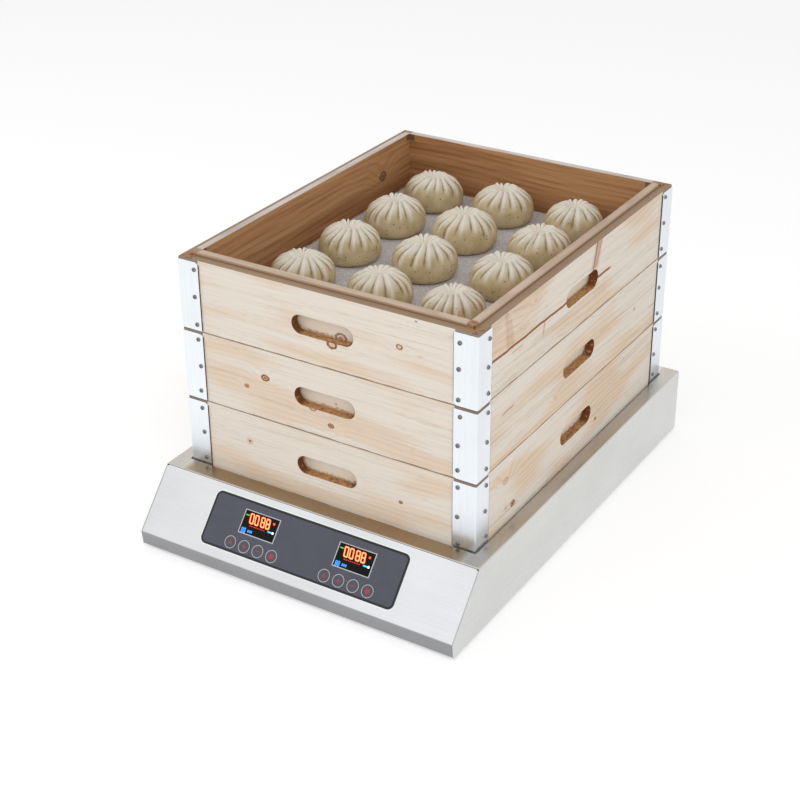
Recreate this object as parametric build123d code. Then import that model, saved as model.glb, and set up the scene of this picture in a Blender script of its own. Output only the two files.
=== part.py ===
from build123d import *
import os
import random

# Dumpling steamer: three stacked fir trays on a stainless steel electric steam base.
# Millimetres, +Z up, the front looks along -Y, and the origin is on the counter under the trays' centre.

# Trays
tray_count = 3
tray_width = 400.0
tray_depth = 500.0
tray_pitch = 92.5
board = 20.0
corner_lap = 10.0
tongue_height = 5.2
tongue_thickness = 9.5
tongue_gap = 0.5

# Hand-holds, one blind stadium in each board
hold_length = 84.0
hold_height = 24.5
hold_depth = 12.0
hold_centre = 46.2

# Corner angles and their screws
angle_leg = 30.5
angle_sheet = 1.5
angle_low_gap = 1.6
angle_top_gap = 2.5
angle_bend = 2.0
angle_corner = 5.0
angle_square = 1.0
screw_edge = 7.5
screw_end = 9.5
screw_radius = 1.6
screw_gap = 0.05
screw_length = 14.0
screw_head_radius = 2.8
screw_head_height = 1.6
screw_slot = 0.8
screw_slot_length = 3.4
screw_rim = 0.55
screw_turn = 37.0
screw_wander_up = 2.8
screw_wander_side = 1.5
screw_seed = 5
screw_rows = 3

# Tray floor, cloth and buns
batten_width = 12.0
batten_height = 10.0
batten_bottom = 10.0
slat_width = 22.0
slat_thickness = 5.0
slat_pitch = 30.0
slat_end_gap = 0.5
cloth_thickness = 1.0
cloth_margin = 4.0
bun_radius = 40.0
bun_height = 46.5
bun_foot_radius = 33.0
bun_columns = 3
bun_rows = 4
bun_pitch_x = 104.0
bun_pitch_y = 100.5
bun_left_gap = 31.0
bun_back_gap = 11.75

# Steel base
foot_height = 4.0
base_height = 87.0
deck_side = 22.0
deck_front = 25.0
deck_back = 25.0
slope_run = 60.0
lip_height = 19.0
lip_lean = 2.0
sheet = 1.2
bend = 2.5
fascia_bend = 2.0
flange = 14.0
fascia_flange = 9.0
seam = 0.4
tray_gap = 3.6
ledge_drop = 3.9
opening_corner = 3.0
foot_radius = 13.0
foot_inset = 38.0
foot_neck = 3.0
foot_taper = 1.5
foot_barb = 1.5
foot_barb_height = 3.0
foot_barb_tip = 2.5
slot_length = 30.0
slot_width = 4.0
slot_pitch = 10.0
slot_count = 8

# Water tank and what stands in it
tank_rim_gap = 1.0
tank_floor = 18.0
tank_corner = 12.0
tank_flange = 9.0
element_radius = 4.0
element_leg_pitch = 42.0
element_height = 12.0
element_inner_leg = 27.0
element_front_gap = 64.0
element_back_gap = 44.0
element_tail = 26.0
bush_radius = 7.0
bush_overhang = 2.0
bush_collar = 10.5
bush_collar_length = 4.0
nut_flats = 22.0
nut_thickness = 7.0
rest_sheet = 1.5
rest_spread = 110.0
rest_margin = 8.0
rest_foot = 12.0
float_radius = 13.0
float_height = 16.0
float_edge = 2.5
float_travel = 12.0
float_gap = 0.4
float_rise = 8.0
float_inset = 34.0
stem_radius = 3.0
stem_collar = 8.0
stem_collar_height = 3.0
spacer_radius = 5.0
stem_tip = 2.0
stem_thread = 6.0
stem_nut_flats = 12.0
stem_nut_thickness = 4.0
clip_thickness = 1.5
thermostat_radius = 8.0
thermostat_height = 10.0
thermostat_ears = 32.0
thermostat_x = 90.0
thermostat_rise = 44.0
thermostat_ear_width = 8.0
thermostat_ear_sheet = 0.8
thermostat_tab_pitch = 6.0
thermostat_tab_length = 6.0
tab_width = 6.0
tab_thickness = 0.8
probe_radius = 3.0
probe_length = 42.0
probe_tail = 12.0
probe_x = 132.0
probe_rise = 32.0
probe_head = 6.0
probe_head_length = 6.0

# Drain at the rear, to the left
drain_inset = 72.0
drain_rise = 11.0
drain_radius = 8.0
drain_bore = 6.0
drain_wall_gap = 1.0
drain_weld_flange = 13.0
drain_weld_thickness = 2.0
valve_length = 32.0
valve_radius = 13.0
valve_barrel = 11.0
valve_hex = 24.0
valve_hex_length = 7.0
ball_radius = 9.0
ball_gap = 0.2
ball_bore = 5.5
spout_length = 22.0
valve_stem = 3.0
valve_stem_gap = 0.05
valve_stem_top = 5.0
valve_neck = 5.5
valve_neck_height = 6.0
lever_gap = 0.3
lever_length = 50.0
lever_width = 12.0
lever_thickness = 3.0
lever_grip = 26.0
lever_grip_wall = 1.5
lever_nut = 9.0
lever_nut_thickness = 3.5

# Cable gland at the rear, to the right
gland_inset = 72.0
gland_rise = 40.0
gland_bore = 4.5
gland_thread = 8.0
gland_thread_in = 10.0
gland_thread_out = 20.0
gland_hex = 22.0
gland_hex_length = 7.0
gland_dome_radius = 10.5
gland_dome_length = 16.0
gland_dome_edge = 4.0
locknut_thickness = 4.0

# Control panel, measured on the sloping fascia from the deck's front edge
panel_width = 274.0
panel_length = 67.0
panel_top = 11.0
panel_corner = 8.0
overlay = 0.8
display_x = 67.5
display_shift = 2.3
display_down = 37.0
display_width = 51.6
display_length = 30.2
bezel_width = 1.5
bezel_proud = 0.5
window_gap = 0.3
lens_drop = 0.1
key_down = 66.2
key_pitch = 20.0
keys_each_side = 4
key_radius = 8.2
key_gap = 0.25
key_proud = 0.3
key_edge = 0.2
key_flange = 1.3
key_flange_thickness = 1.0
key_stem = 2.0
key_travel = 0.6
switch_gap = 0.05
switch_size = 6.0
switch_body = 3.5
switch_plunger = 1.75
switch_plunger_height = 0.5
circuit_depth = 10.4
circuit_thickness = 1.6
circuit_width = 120.0
circuit_length = 68.0
circuit_top = 10.0
standoff_radius = 3.0
standoff_edge = 5.0

# Mains parts inside the base
terminal_width = 52.0
terminal_depth = 16.0
terminal_back = 2.0
terminal_height = 18.0
terminal_x = 60.0
terminal_ways = 4
terminal_well = 3.9
terminal_well_depth = 6.0
relay_width = 30.0
relay_depth = 22.0
relay_height = 26.0
relay_x = 60.0
relay_back = 8.0
relay_tab_height = 7.0
relay_tab_pitch = 6.0
supply_radius = 3.5
supply_bend = 18.0
supply_straight = 3.6
supply_rise = 6.0
supply_spread = 13.0
supply_side = 108.0
lead_radius = 1.5
lead_bend = 3.6
panel_lead_bend = 3.0
lead_front = 25.0
lead_rise = 8.0
lead_down = 40.0
lead_stub = 13.0

# Screws under the base
base_screw_radius = 2.0
base_screw_length = 8.0
base_screw_head = 3.8
base_screw_head_height = 1.8
base_screw_edge = 0.5
base_screw_slot = 0.8
base_screw_slot_length = 5.3
base_screw_slot_depth = 0.6

# Levels and lines worked out from the sizes above
half_w = tray_width / 2
half_d = tray_depth / 2
skirt = board - tongue_thickness - tongue_gap
deck_z = foot_height + base_height
ledge_z = deck_z - ledge_drop
lip_z = foot_height + lip_height
side_x = half_w + deck_side
drain_x = -side_x + drain_inset
gland_x = side_x - gland_inset
front_y = -(half_d + deck_front)
back_y = half_d + deck_back
lip_y = front_y - slope_run
slope_rise = deck_z - lip_z
slope = Plane(origin=(0, front_y, deck_z), x_dir=(1, 0, 0), z_dir=(0, -slope_rise, slope_run))
tray_bottoms = [ledge_z + i * tray_pitch for i in range(tray_count)]
slat_bottom = batten_bottom + batten_height
cloth_bottom = slat_bottom + slat_thickness
plate_z = foot_height - sheet
floor_z = foot_height + tank_floor
tank_x = half_w - skirt - tank_rim_gap
tank_y = half_d - skirt - tank_rim_gap
float_y = -tank_y + float_inset
flange_middle = (flange + sheet) / 2


def block(x0, x1, y0, y1, z0, z1):
    """A box between two corners."""
    centre = Pos((x0 + x1) / 2, (y0 + y1) / 2, (z0 + z1) / 2)
    return centre * Box(abs(x1 - x0), abs(y1 - y0), abs(z1 - z0))


def round_block(width, depth, z0, z1, corner):
    """A box centred on the Z axis with rounded upright edges."""
    return Pos(0, 0, z0) * extrude(RectangleRounded(width, depth, corner), z1 - z0)


def rod(radius, start, end):
    """A round bar from start to end."""
    line = Vector(*end) - Vector(*start)
    return Plane(origin=start, z_dir=line) * extrude(Circle(radius), line.length)


def tube(radius, bore, start, end):
    """A round bar with a hole along it."""
    return rod(radius, start, end) - rod(bore, start, end)


def on_slope(x, down, height):
    """A place on the fascia: across, down the slope, and out from its surface."""
    return slope.location * Pos(x, -down, height)


def solids(*shapes):
    """The shapes as one group of separate solids."""
    return Compound([s for shape in shapes for s in shape.solids()])


# Trays


def screw_heights():
    """The heights of a corner angle's screws above the tray's lower edge."""
    low = angle_low_gap + screw_end
    high = tray_pitch - angle_top_gap - screw_end
    step = (high - low) / (screw_rows - 1)
    return [low + i * step for i in range(screw_rows)]


def screw_places(tray):
    """A tray's corner screws at tray height zero: the point on the angle's outside and the inward line.

    The screws are driven by hand, so each wanders a little from its place."""
    rng = random.Random(screw_seed + tray)
    out_x = half_w + angle_sheet
    out_y = half_d + angle_sheet
    from_corner = angle_leg - screw_edge
    places = []
    for sx in (-1, 1):
        for sy in (-1, 1):
            for height in screw_heights():
                along_x = sx * (out_x - from_corner + rng.uniform(-screw_wander_side, screw_wander_side))
                z = height + rng.uniform(-screw_wander_up, screw_wander_up)
                places.append(((along_x, sy * out_y, z), (0, -sy, 0)))
                along_y = sy * (out_y - from_corner + rng.uniform(-screw_wander_side, screw_wander_side))
                z = height + rng.uniform(-screw_wander_up, screw_wander_up)
                places.append(((sx * out_x, along_y, z), (-sx, 0, 0)))
    return places


def pilot_holes(tray):
    """Bars that cut the boards' and angles' screw holes, a hair wider than the screws."""
    holes = []
    for point, inward in screw_places(tray):
        reach = [p + d * screw_length for p, d in zip(point, inward)]
        holes.append(rod(screw_radius + screw_gap, point, reach))
    return holes


def hand_hold():
    """A stadium bar along Y that cuts one hand-hold, centred on the origin's XZ plane."""
    straight = hold_length - hold_height
    return extrude(Plane.XZ * SlotCenterToCenter(straight, hold_height), hold_depth, both=True)


def end_board():
    """The front board: full width, lapped over the side boards' ends."""
    outer = -half_d
    inner = outer + board
    clear_x = half_w - board
    piece = block(-half_w, half_w, outer, inner, 0, tray_pitch)
    tongue_top = tray_pitch + tongue_height
    piece += block(-clear_x, clear_x, inner - tongue_thickness, inner, tray_pitch, tongue_top)
    piece -= block(-half_w, half_w, outer + skirt, inner, 0, tongue_height + tongue_gap)
    for side in (-1, 1):
        piece -= block(side * clear_x, side * half_w, outer + corner_lap, inner, 0, tray_pitch)
    return piece - Pos(0, outer, hold_centre) * hand_hold()


def side_board():
    """The right board: between the end boards' laps, with its tongue run through to the corners."""
    outer = half_w
    inner = outer - board
    reach = half_d - corner_lap
    ring = half_d - board + tongue_thickness
    piece = block(inner, outer, -reach, reach, 0, tray_pitch)
    piece += block(inner, inner + tongue_thickness, -ring, ring, tray_pitch, tray_pitch + tongue_height)
    piece -= block(inner, outer - skirt, -reach, reach, 0, tongue_height + tongue_gap)
    return piece - Pos(outer, 0, hold_centre) * Rot(0, 0, 90) * hand_hold()


def drilled(pieces, tray):
    """The pieces with the tray's screw holes in them."""
    holes = pilot_holes(tray)
    done = []
    for piece in pieces:
        box = piece.bounding_box()
        done.append(piece - [h for h in holes if touches(h.bounding_box(), box)])
    return solids(*done)


def touches(a, b):
    """Whether two bounding boxes overlap."""
    low = (a.min.X < b.max.X, a.min.Y < b.max.Y, a.min.Z < b.max.Z)
    high = (a.max.X > b.min.X, a.max.Y > b.min.Y, a.max.Z > b.min.Z)
    return all(low + high)


def corner_angle(round_end_up):
    """The angle on the front right corner: wide round corners at one end, small ones at the other."""
    out_x = half_w + angle_sheet
    out_y = -(half_d + angle_sheet)
    low = angle_low_gap
    high = tray_pitch - angle_top_gap
    piece = block(out_x - angle_leg, out_x, out_y, out_y + angle_leg, low, high)
    upright = piece.edges().filter_by(Axis.Z).sort_by(lambda e: e.center().X - e.center().Y)
    piece = fillet(upright[-1], angle_bend)
    piece -= block(out_x - angle_leg, half_w, -half_d, out_y + angle_leg, low, high)
    piece = fillet(free_corners(piece, round_end_up), angle_corner)
    return fillet(free_corners(piece, not round_end_up), angle_square)


def free_corners(piece, upper):
    """The short edges at the free corners of an angle's legs, at its upper or lower end."""
    short = piece.edges().filter_by(lambda e: e.length < 2 * angle_sheet)
    free = short.filter_by(Axis.X) + short.filter_by(Axis.Y)
    return free.filter_by(lambda e: (e.center().Z > tray_pitch / 2) == upper)


def corner_angles():
    """The four angles of a tray, fitted with their rounded ends down and up in turn round the tray."""
    down = corner_angle(False)
    up = corner_angle(True)
    back_left = mirror(mirror(down, Plane.XZ), Plane.YZ)
    return [down, mirror(up, Plane.YZ), mirror(up, Plane.XZ), back_left]


def wood_screw():
    """A pan head screw along -Z, with its head's underside at the origin's height and a cross recess."""
    dome = ThreePointArc(
        (screw_head_radius, screw_rim),
        (0.72 * screw_head_radius, 0.8 * screw_head_height),
        (0, screw_head_height),
    )
    outline = [
        Line((0, screw_head_height), (0, -screw_length)),
        Line((0, -screw_length), (screw_radius, -screw_length + screw_radius)),
        Line((screw_radius, -screw_length + screw_radius), (screw_radius, 0)),
        Line((screw_radius, 0), (screw_head_radius, 0)),
        Line((screw_head_radius, 0), (screw_head_radius, screw_rim)),
        dome,
    ]
    screw = revolve(Plane.XZ * make_face(outline), Axis.Z)
    slot = Box(screw_slot_length, screw_slot, screw_head_height)
    cross = Pos(0, 0, screw_head_height) * (slot + Rot(0, 0, 90) * slot)
    return screw - cross


def angle_screws(tray):
    """The screws of a tray's four angles, each turned a little differently."""
    screw = wood_screw()
    turned = []
    for i, (point, inward) in enumerate(screw_places(tray)):
        outward = tuple(-d for d in inward)
        turned.append(Plane(origin=point, z_dir=outward).location * Rot(0, 0, screw_turn * i) * screw)
    return solids(*turned)


def floor_battens():
    """Three battens from the front board to the back board, two along the sides and one in the middle."""
    inner_x = half_w - board
    inner_y = half_d - board
    pieces = []
    for x0 in (-inner_x, -batten_width / 2, inner_x - batten_width):
        pieces.append(block(x0, x0 + batten_width, -inner_y, inner_y, batten_bottom, slat_bottom))
    return solids(*pieces)


def floor_slats():
    """The floor's slats across the battens, evenly spaced with steam gaps between them."""
    reach = half_w - board - slat_end_gap
    room = tray_depth - 2 * board
    count = int((room - slat_width) // slat_pitch) + 1
    first = -(count - 1) * slat_pitch / 2
    pieces = []
    for i in range(count):
        y = first + i * slat_pitch
        front = y - slat_width / 2
        pieces.append(block(-reach, reach, front, front + slat_width, slat_bottom, cloth_bottom))
    return solids(*pieces)


def steamer_cloth():
    """The damp cloth laid flat over the slats."""
    x = half_w - board - cloth_margin
    y = half_d - board - cloth_margin
    return block(-x, x, -y, y, cloth_bottom, cloth_bottom + cloth_thickness)


def bun():
    """One bun: a flat foot, full sides and a crown drawn in to a small dimple."""
    profile = Spline(
        (bun_foot_radius, 0),
        (bun_radius, 0.34 * bun_height),
        (0.78 * bun_radius, 0.74 * bun_height),
        (0.26 * bun_radius, bun_height),
        (0, 0.95 * bun_height),
        tangents=((1, 0.35), (-1, -0.1)),
    )
    foot = Line((0, 0), (bun_foot_radius, 0))
    axis = Line((0, 0.95 * bun_height), (0, 0))
    return revolve(Plane.XZ * make_face([foot, profile, axis]), Axis.Z)


def buns():
    """The buns on the top tray's cloth, in rows from the back and columns from the left."""
    z = tray_bottoms[-1] + cloth_bottom + cloth_thickness
    left = -half_w + board + bun_left_gap + bun_radius
    back = half_d - board - bun_back_gap - bun_radius
    one = bun()
    placed = []
    for row in range(bun_rows):
        for column in range(bun_columns):
            placed.append(Pos(left + column * bun_pitch_x, back - row * bun_pitch_y, z) * one)
    return solids(*placed)


# Steel base


def base_profile():
    """The base's side view as a solid block over its whole width."""
    corners = [
        (back_y, foot_height),
        (back_y, deck_z),
        (front_y, deck_z),
        (lip_y, lip_z),
        (lip_y + lip_lean, foot_height),
    ]
    side = Plane.YZ * make_face(Polyline(*corners, close=True))
    return extrude(side, side_x, both=True)


def rounded_top(piece, radius):
    """Rounds the long top edges, the top back edge and the upright back edges."""
    box = piece.bounding_box()
    near = 0.001
    along = piece.edges().filter_by(Axis.Y).filter_by(lambda e: e.center().Z > box.max.Z - near)
    across = piece.edges().filter_by(Axis.X).filter_by(
        lambda e: e.center().Z > box.max.Z - near and e.center().Y > box.max.Y - near
    )
    upright = piece.edges().filter_by(Axis.Z).filter_by(lambda e: e.center().Y > box.max.Y - near)
    return fillet(along + across + upright, radius)


def feet_places():
    """The centres of the four feet."""
    x = side_x - foot_inset
    return [(sx * x, y) for sx in (-1, 1) for y in (lip_y + foot_inset, back_y - foot_inset)]


def base_screw_places():
    """The screws that hold the bottom plate to the flanges above it."""
    x = side_x - flange_middle
    middle = [front_y, 0.0, back_y - 2 * foot_inset]
    sides = [(sx * x, y) for sx in (-1, 1) for y in middle]
    across = [(sx * half_w / 2, back_y - flange_middle) for sx in (-1, 1)]
    front = [(sx * half_w / 2, lip_y + lip_lean + flange_middle) for sx in (-1, 1)]
    return sides + across + front


def base_screw_holes():
    """Bars through the bottom plate and the flanges for its screws."""
    top = foot_height + sheet + 1
    return [rod(base_screw_radius, (x, y, plate_z - 1), (x, y, top)) for x, y in base_screw_places()]


def top_shell():
    """Deck, cheeks and back in one bent sheet, with the tray opening and inward flanges at the bottom."""
    inner_x = side_x - sheet
    low = foot_height + sheet
    room = block(-inner_x, inner_x, lip_y - flange, back_y - sheet, low, deck_z - sheet)
    shell = rounded_top(base_profile(), bend) - rounded_top(room, bend - sheet)
    inset = side_x - flange
    shell -= block(-inset, inset, lip_y - flange, back_y - flange, foot_height, low)
    shell -= block(-inner_x, inner_x, lip_y - flange, lip_y + lip_lean + flange + seam, foot_height, low)
    gap = 2 * tray_gap
    shell -= round_block(tray_width + gap, tray_depth + gap, ledge_z, deck_z + 1, opening_corner)
    shell -= base_screw_holes()
    drain_z = drain_axis()
    drain_hole = drain_radius + drain_wall_gap
    shell -= rod(drain_hole, (drain_x, back_y - 2 * sheet, drain_z), (drain_x, back_y + 1, drain_z))
    gland_z = foot_height + gland_rise
    shell -= rod(gland_thread, (gland_x, back_y - 2 * sheet, gland_z), (gland_x, back_y + 1, gland_z))
    return shell


def display_centres():
    """The middle of the left and of the right display across the fascia."""
    return [display_shift - display_x, display_shift + display_x]


def key_places():
    """Where the keys stand on the fascia, from the left: name, across, down."""
    places = []
    for name, middle in zip(("left", "right"), display_centres()):
        for i in range(keys_each_side):
            x = middle + (i - (keys_each_side - 1) / 2) * key_pitch
            places.append((f"key_{name}_{i + 1}", x, key_down))
    return places


def panel_cuts(margin, depth):
    """Bars square to the fascia through the displays and the keys."""
    cuts = []
    width = display_width - 2 * bezel_width + 2 * margin
    length = display_length - 2 * bezel_width + 2 * margin
    for x in display_centres():
        cuts.append(on_slope(x, display_down, 0) * Box(width, length, depth))
    for _, x, down in key_places():
        cuts.append(on_slope(x, down, 0) * Cylinder(key_radius + key_gap, depth))
    return cuts


def front_fascia():
    """Slope and lip in one bent sheet between the cheeks, with flanges at the deck and the bottom plate."""
    under = deck_z - sheet
    bend_y = front_y - sheet * slope_run / slope_rise
    foot_y = lip_y + lip_lean
    path = FilletPolyline(
        (bend_y + fascia_flange, under),
        (bend_y, under),
        (lip_y, lip_z),
        (foot_y, foot_height),
        (foot_y + flange, foot_height),
        radius=fascia_bend,
    )
    section = make_face(offset(path, amount=sheet, side=Side.LEFT).edges())
    fascia = extrude(Plane.YZ * section, side_x - sheet - seam, both=True)
    fascia -= panel_cuts(window_gap, 6 * sheet)
    for side in (-1, 1):
        corner = side * (side_x - sheet - bend)
        back = bend_y + fascia_flange
        fascia -= block(corner, side * side_x, bend_y - sheet, back, under - 2 * sheet, under)
    return fascia - base_screw_holes()


def bottom_plate():
    """The flat sheet under the base, with cooling slots and holes for feet and screws."""
    x = side_x - bend
    plate = block(-x, x, lip_y + lip_lean + bend, back_y - bend, plate_z, foot_height)
    for sx in (-1, 1):
        for i in range(slot_count):
            place = Pos(sx * half_w / 2 + (i - (slot_count - 1) / 2) * slot_pitch, front_y, plate_z)
            plate -= place * Rot(0, 0, 90) * extrude(SlotOverall(slot_length, slot_width), sheet)
    plate -= [Pos(px, py, foot_height) * Cylinder(foot_neck, 4 * sheet) for px, py in feet_places()]
    return plate - base_screw_holes()


def rubber_feet():
    """Four push-in feet: a tapered pad, a neck through the plate and a barb above it."""
    pad = plate_z
    barb = foot_height
    outline = [
        (0, 0),
        (foot_radius - foot_taper, 0),
        (foot_radius, pad),
        (foot_neck, pad),
        (foot_neck, barb),
        (foot_neck + foot_barb, barb),
        (foot_barb_tip, barb + foot_barb_height),
        (0, barb + foot_barb_height),
    ]
    foot = revolve(Plane.XZ * make_face(Polyline(*outline, close=True)), Axis.Z)
    return solids(*[Pos(x, y, 0) * foot for x, y in feet_places()])


def base_screws():
    """Pan head screws that hold the bottom plate."""
    placed = []
    for x, y in base_screw_places():
        shank = rod(base_screw_radius, (x, y, plate_z), (x, y, plate_z + base_screw_length))
        low = plate_z - base_screw_head_height
        head = rod(base_screw_head, (x, y, low), (x, y, plate_z))
        head = chamfer(head.edges().sort_by(Axis.Z)[0], base_screw_edge)
        slot = Pos(x, y, low) * Box(base_screw_slot_length, base_screw_slot, 2 * base_screw_slot_depth)
        placed.append(head + shank - slot)
    return solids(*placed)


# Water tank


def water_tank():
    """A welded pan hung from the deck, with the lowest tray's ledge and a rim inside it."""
    rim_top = ledge_z + tongue_height - tongue_gap
    tank = round_block(2 * tank_x, 2 * tank_y, floor_z, rim_top, tank_corner)
    ledge_low = ledge_z - sheet
    wide = 2 * (tray_gap + sheet)
    tank += round_block(tray_width + wide, tray_depth + wide, ledge_low, ledge_z, opening_corner + sheet)
    under = deck_z - sheet
    riser = round_block(tray_width + wide, tray_depth + wide, ledge_low, under, opening_corner + sheet)
    brim = wide + 2 * tank_flange
    brim_corner = opening_corner + tank_flange
    riser += round_block(tray_width + brim, tray_depth + brim, under - sheet, under, brim_corner)
    gap = 2 * tray_gap
    riser -= round_block(tray_width + gap, tray_depth + gap, ledge_low, deck_z, opening_corner)
    tank += riser
    inside = 2 * sheet
    tank -= round_block(
        2 * tank_x - inside, 2 * tank_y - inside, floor_z + sheet, rim_top, tank_corner - sheet
    )
    for x in element_ends():
        z = element_z()
        tank -= rod(bush_radius, (x, -tank_y - sheet, z), (x, -tank_y + 2 * sheet, z))
    for side in (-1, 1):
        z = floor_z + probe_rise
        start = (side * probe_x, -tank_y - sheet, z)
        tank -= rod(probe_radius, start, (side * probe_x, -tank_y + 2 * sheet, z))
    drain_z = drain_axis()
    tank -= rod(drain_bore, (drain_x, tank_y - 2 * sheet, drain_z), (drain_x, tank_y + sheet, drain_z))
    tank -= rod(stem_radius, (0, float_y, floor_z - 1), (0, float_y, floor_z + 2 * sheet))
    return tank


def element_z():
    """The height of the heating tubes' centre line."""
    return floor_z + sheet + element_height


def element_ends():
    """The tails of both heating elements across the tank's front wall."""
    outer = element_inner_leg + 3 * element_leg_pitch
    return [-outer, -element_inner_leg, element_inner_leg, outer]


def heating_element(side):
    """One four-legged tubular element lying in a level plane, with both tails out of the front wall."""
    legs = [side * (element_inner_leg + i * element_leg_pitch) for i in range(4)]
    tail_y = -tank_y - element_tail
    back = tank_y - element_back_gap
    front = -tank_y + element_front_gap
    z = element_z()
    points = [
        (legs[0], tail_y, z),
        (legs[0], back, z),
        (legs[1], back, z),
        (legs[1], front, z),
        (legs[2], front, z),
        (legs[2], back, z),
        (legs[3], back, z),
        (legs[3], tail_y, z),
    ]
    path = FilletPolyline(*points, radius=element_leg_pitch / 2 - 1)
    return sweep(Plane(origin=points[0], z_dir=(0, 1, 0)) * Circle(element_radius), path)


def element_fittings():
    """Collared bushes brazed on the tails, and the nuts that draw them against the tank's front wall."""
    z = element_z()
    inner = -tank_y + sheet
    pieces = []
    for x in element_ends():
        out = -tank_y - nut_thickness - bush_overhang
        bush = tube(bush_radius, element_radius, (x, out, z), (x, inner, z))
        bush += tube(bush_collar, element_radius, (x, inner, z), (x, inner + bush_collar_length, z))
        place = Plane(origin=(x, -tank_y, z), z_dir=(0, -1, 0))
        nut = extrude(place * RegularPolygon(nut_flats / 2, 6, major_radius=False), nut_thickness)
        pieces += [bush, nut - rod(bush_radius, (x, -tank_y, z), (x, -tank_y - nut_thickness, z))]
    return solids(*pieces)


def element_rests():
    """Upright strips on the tank floor with a cradle under each leg."""
    z0 = floor_z + sheet
    z = element_z()
    x0 = element_inner_leg - rest_margin
    x1 = element_inner_leg + 3 * element_leg_pitch + rest_margin
    pieces = []
    for side in (-1, 1):
        for y in (-rest_spread, rest_spread):
            strip = block(side * x0, side * x1, y, y + rest_sheet, z0, z)
            strip += block(side * x0, side * x1, y, y + rest_foot, z0, z0 + rest_sheet)
            for i in range(4):
                x = side * (element_inner_leg + i * element_leg_pitch)
                strip -= rod(element_radius, (x, y - 1, z), (x, y + rest_foot + 1, z))
            pieces.append(strip)
    return solids(*pieces)


def float_stem():
    """The level switch's stem through the tank floor, with a collar below the float and a clip above."""
    floor = floor_z + sheet
    seat = floor + float_rise
    top = seat + float_height + float_travel + float_gap + clip_thickness + stem_tip
    stem = rod(stem_radius, (0, float_y, floor_z - stem_thread), (0, float_y, top))
    stem += rod(stem_collar, (0, float_y, floor), (0, float_y, floor + stem_collar_height))
    stem += rod(spacer_radius, (0, float_y, floor), (0, float_y, seat))
    clip = top - stem_tip - clip_thickness
    stem += rod(spacer_radius, (0, float_y, clip), (0, float_y, clip + clip_thickness))
    place = Pos(0, float_y, floor_z - stem_nut_thickness)
    nut = RegularPolygon(stem_nut_flats / 2, 6, major_radius=False)
    return stem + extrude(place * nut, stem_nut_thickness)


def water_float():
    """The hollow ring that rises on the stem with the water."""
    seat = floor_z + sheet + float_rise
    ring = rod(float_radius, (0, float_y, seat), (0, float_y, seat + float_height))
    ring = fillet(ring.edges().filter_by(GeomType.CIRCLE), float_edge)
    return ring - rod(stem_radius + float_gap, (0, float_y, seat), (0, float_y, seat + float_height))


def thermostats():
    """Two disc cut-outs against the tank's front wall."""
    z = floor_z + thermostat_rise
    pieces = []
    for side in (-1, 1):
        x = side * thermostat_x
        disc = rod(thermostat_radius, (x, -tank_y, z), (x, -tank_y - thermostat_height, z))
        ear = Plane(origin=(x, -tank_y, z), x_dir=(1, 0, 0), z_dir=(0, -1, 0))
        disc += extrude(ear * SlotOverall(thermostat_ears, thermostat_ear_width), thermostat_ear_sheet)
        face = -tank_y - thermostat_height
        for sx in (-1, 1):
            tab = x + sx * thermostat_tab_pitch / 2
            disc += tab_block(tab, face - thermostat_tab_length, face, z - tab_width / 2, z + tab_width / 2)
        pieces.append(disc)
    return solids(*pieces)


def tab_block(x, y0, y1, z0, z1):
    """A push-on tab, upright across the X axis."""
    return block(x - tab_thickness / 2, x + tab_thickness / 2, y0, y1, z0, z1)


def temperature_probes():
    """Two probes through the front wall, one by each element."""
    z = floor_z + probe_rise
    pieces = []
    for side in (-1, 1):
        x = side * probe_x
        probe = rod(probe_radius, (x, -tank_y - probe_tail, z), (x, -tank_y + probe_length, z))
        place = Plane(origin=(x, -tank_y, z), z_dir=(0, -1, 0))
        probe += extrude(place * RegularPolygon(probe_head, 6, major_radius=False), probe_head_length)
        pieces.append(probe)
    return solids(*pieces)


# Drain


def valve_y():
    """The valve body's inner end and outer end, and the spout's mouth."""
    mouth = back_y + slope_run + deck_front - deck_back
    outer = mouth - spout_length
    return outer - valve_length, outer, mouth


def drain_axis():
    """The drain's height."""
    return floor_z + sheet + drain_rise


def drain_pipe():
    """The pipe from the tank's back wall to the valve, with a welded flange on the wall."""
    inlet, _, _ = valve_y()
    z = drain_axis()
    pipe = tube(drain_radius, drain_bore, (drain_x, tank_y, z), (drain_x, inlet, z))
    weld_y = tank_y + drain_weld_thickness
    return pipe + tube(drain_weld_flange, drain_bore, (drain_x, tank_y, z), (drain_x, weld_y, z))


def drain_valve_body():
    """A ball valve body with a hexagon at its inner end, a round seat for the ball and a hose spout."""
    inlet, outlet, mouth = valve_y()
    z = drain_axis()
    middle = (inlet + outlet) / 2
    body = rod(valve_barrel, (drain_x, inlet, z), (drain_x, outlet, z))
    place = Plane(origin=(drain_x, inlet, z), z_dir=(0, 1, 0))
    body += extrude(place * RegularPolygon(valve_hex / 2, 6, major_radius=False), valve_hex_length)
    body += Pos(drain_x, middle, z) * Sphere(valve_radius)
    body += rod(drain_radius, (drain_x, outlet, z), (drain_x, mouth, z))
    neck_top = z + valve_radius + valve_neck_height
    body += rod(valve_neck, (drain_x, middle, z), (drain_x, middle, neck_top))
    body -= rod(drain_bore, (drain_x, inlet, z), (drain_x, mouth, z))
    body -= Pos(drain_x, middle, z) * Sphere(ball_radius + ball_gap)
    return body - rod(valve_stem + valve_stem_gap, (drain_x, middle, z), (drain_x, middle, neck_top))


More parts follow.
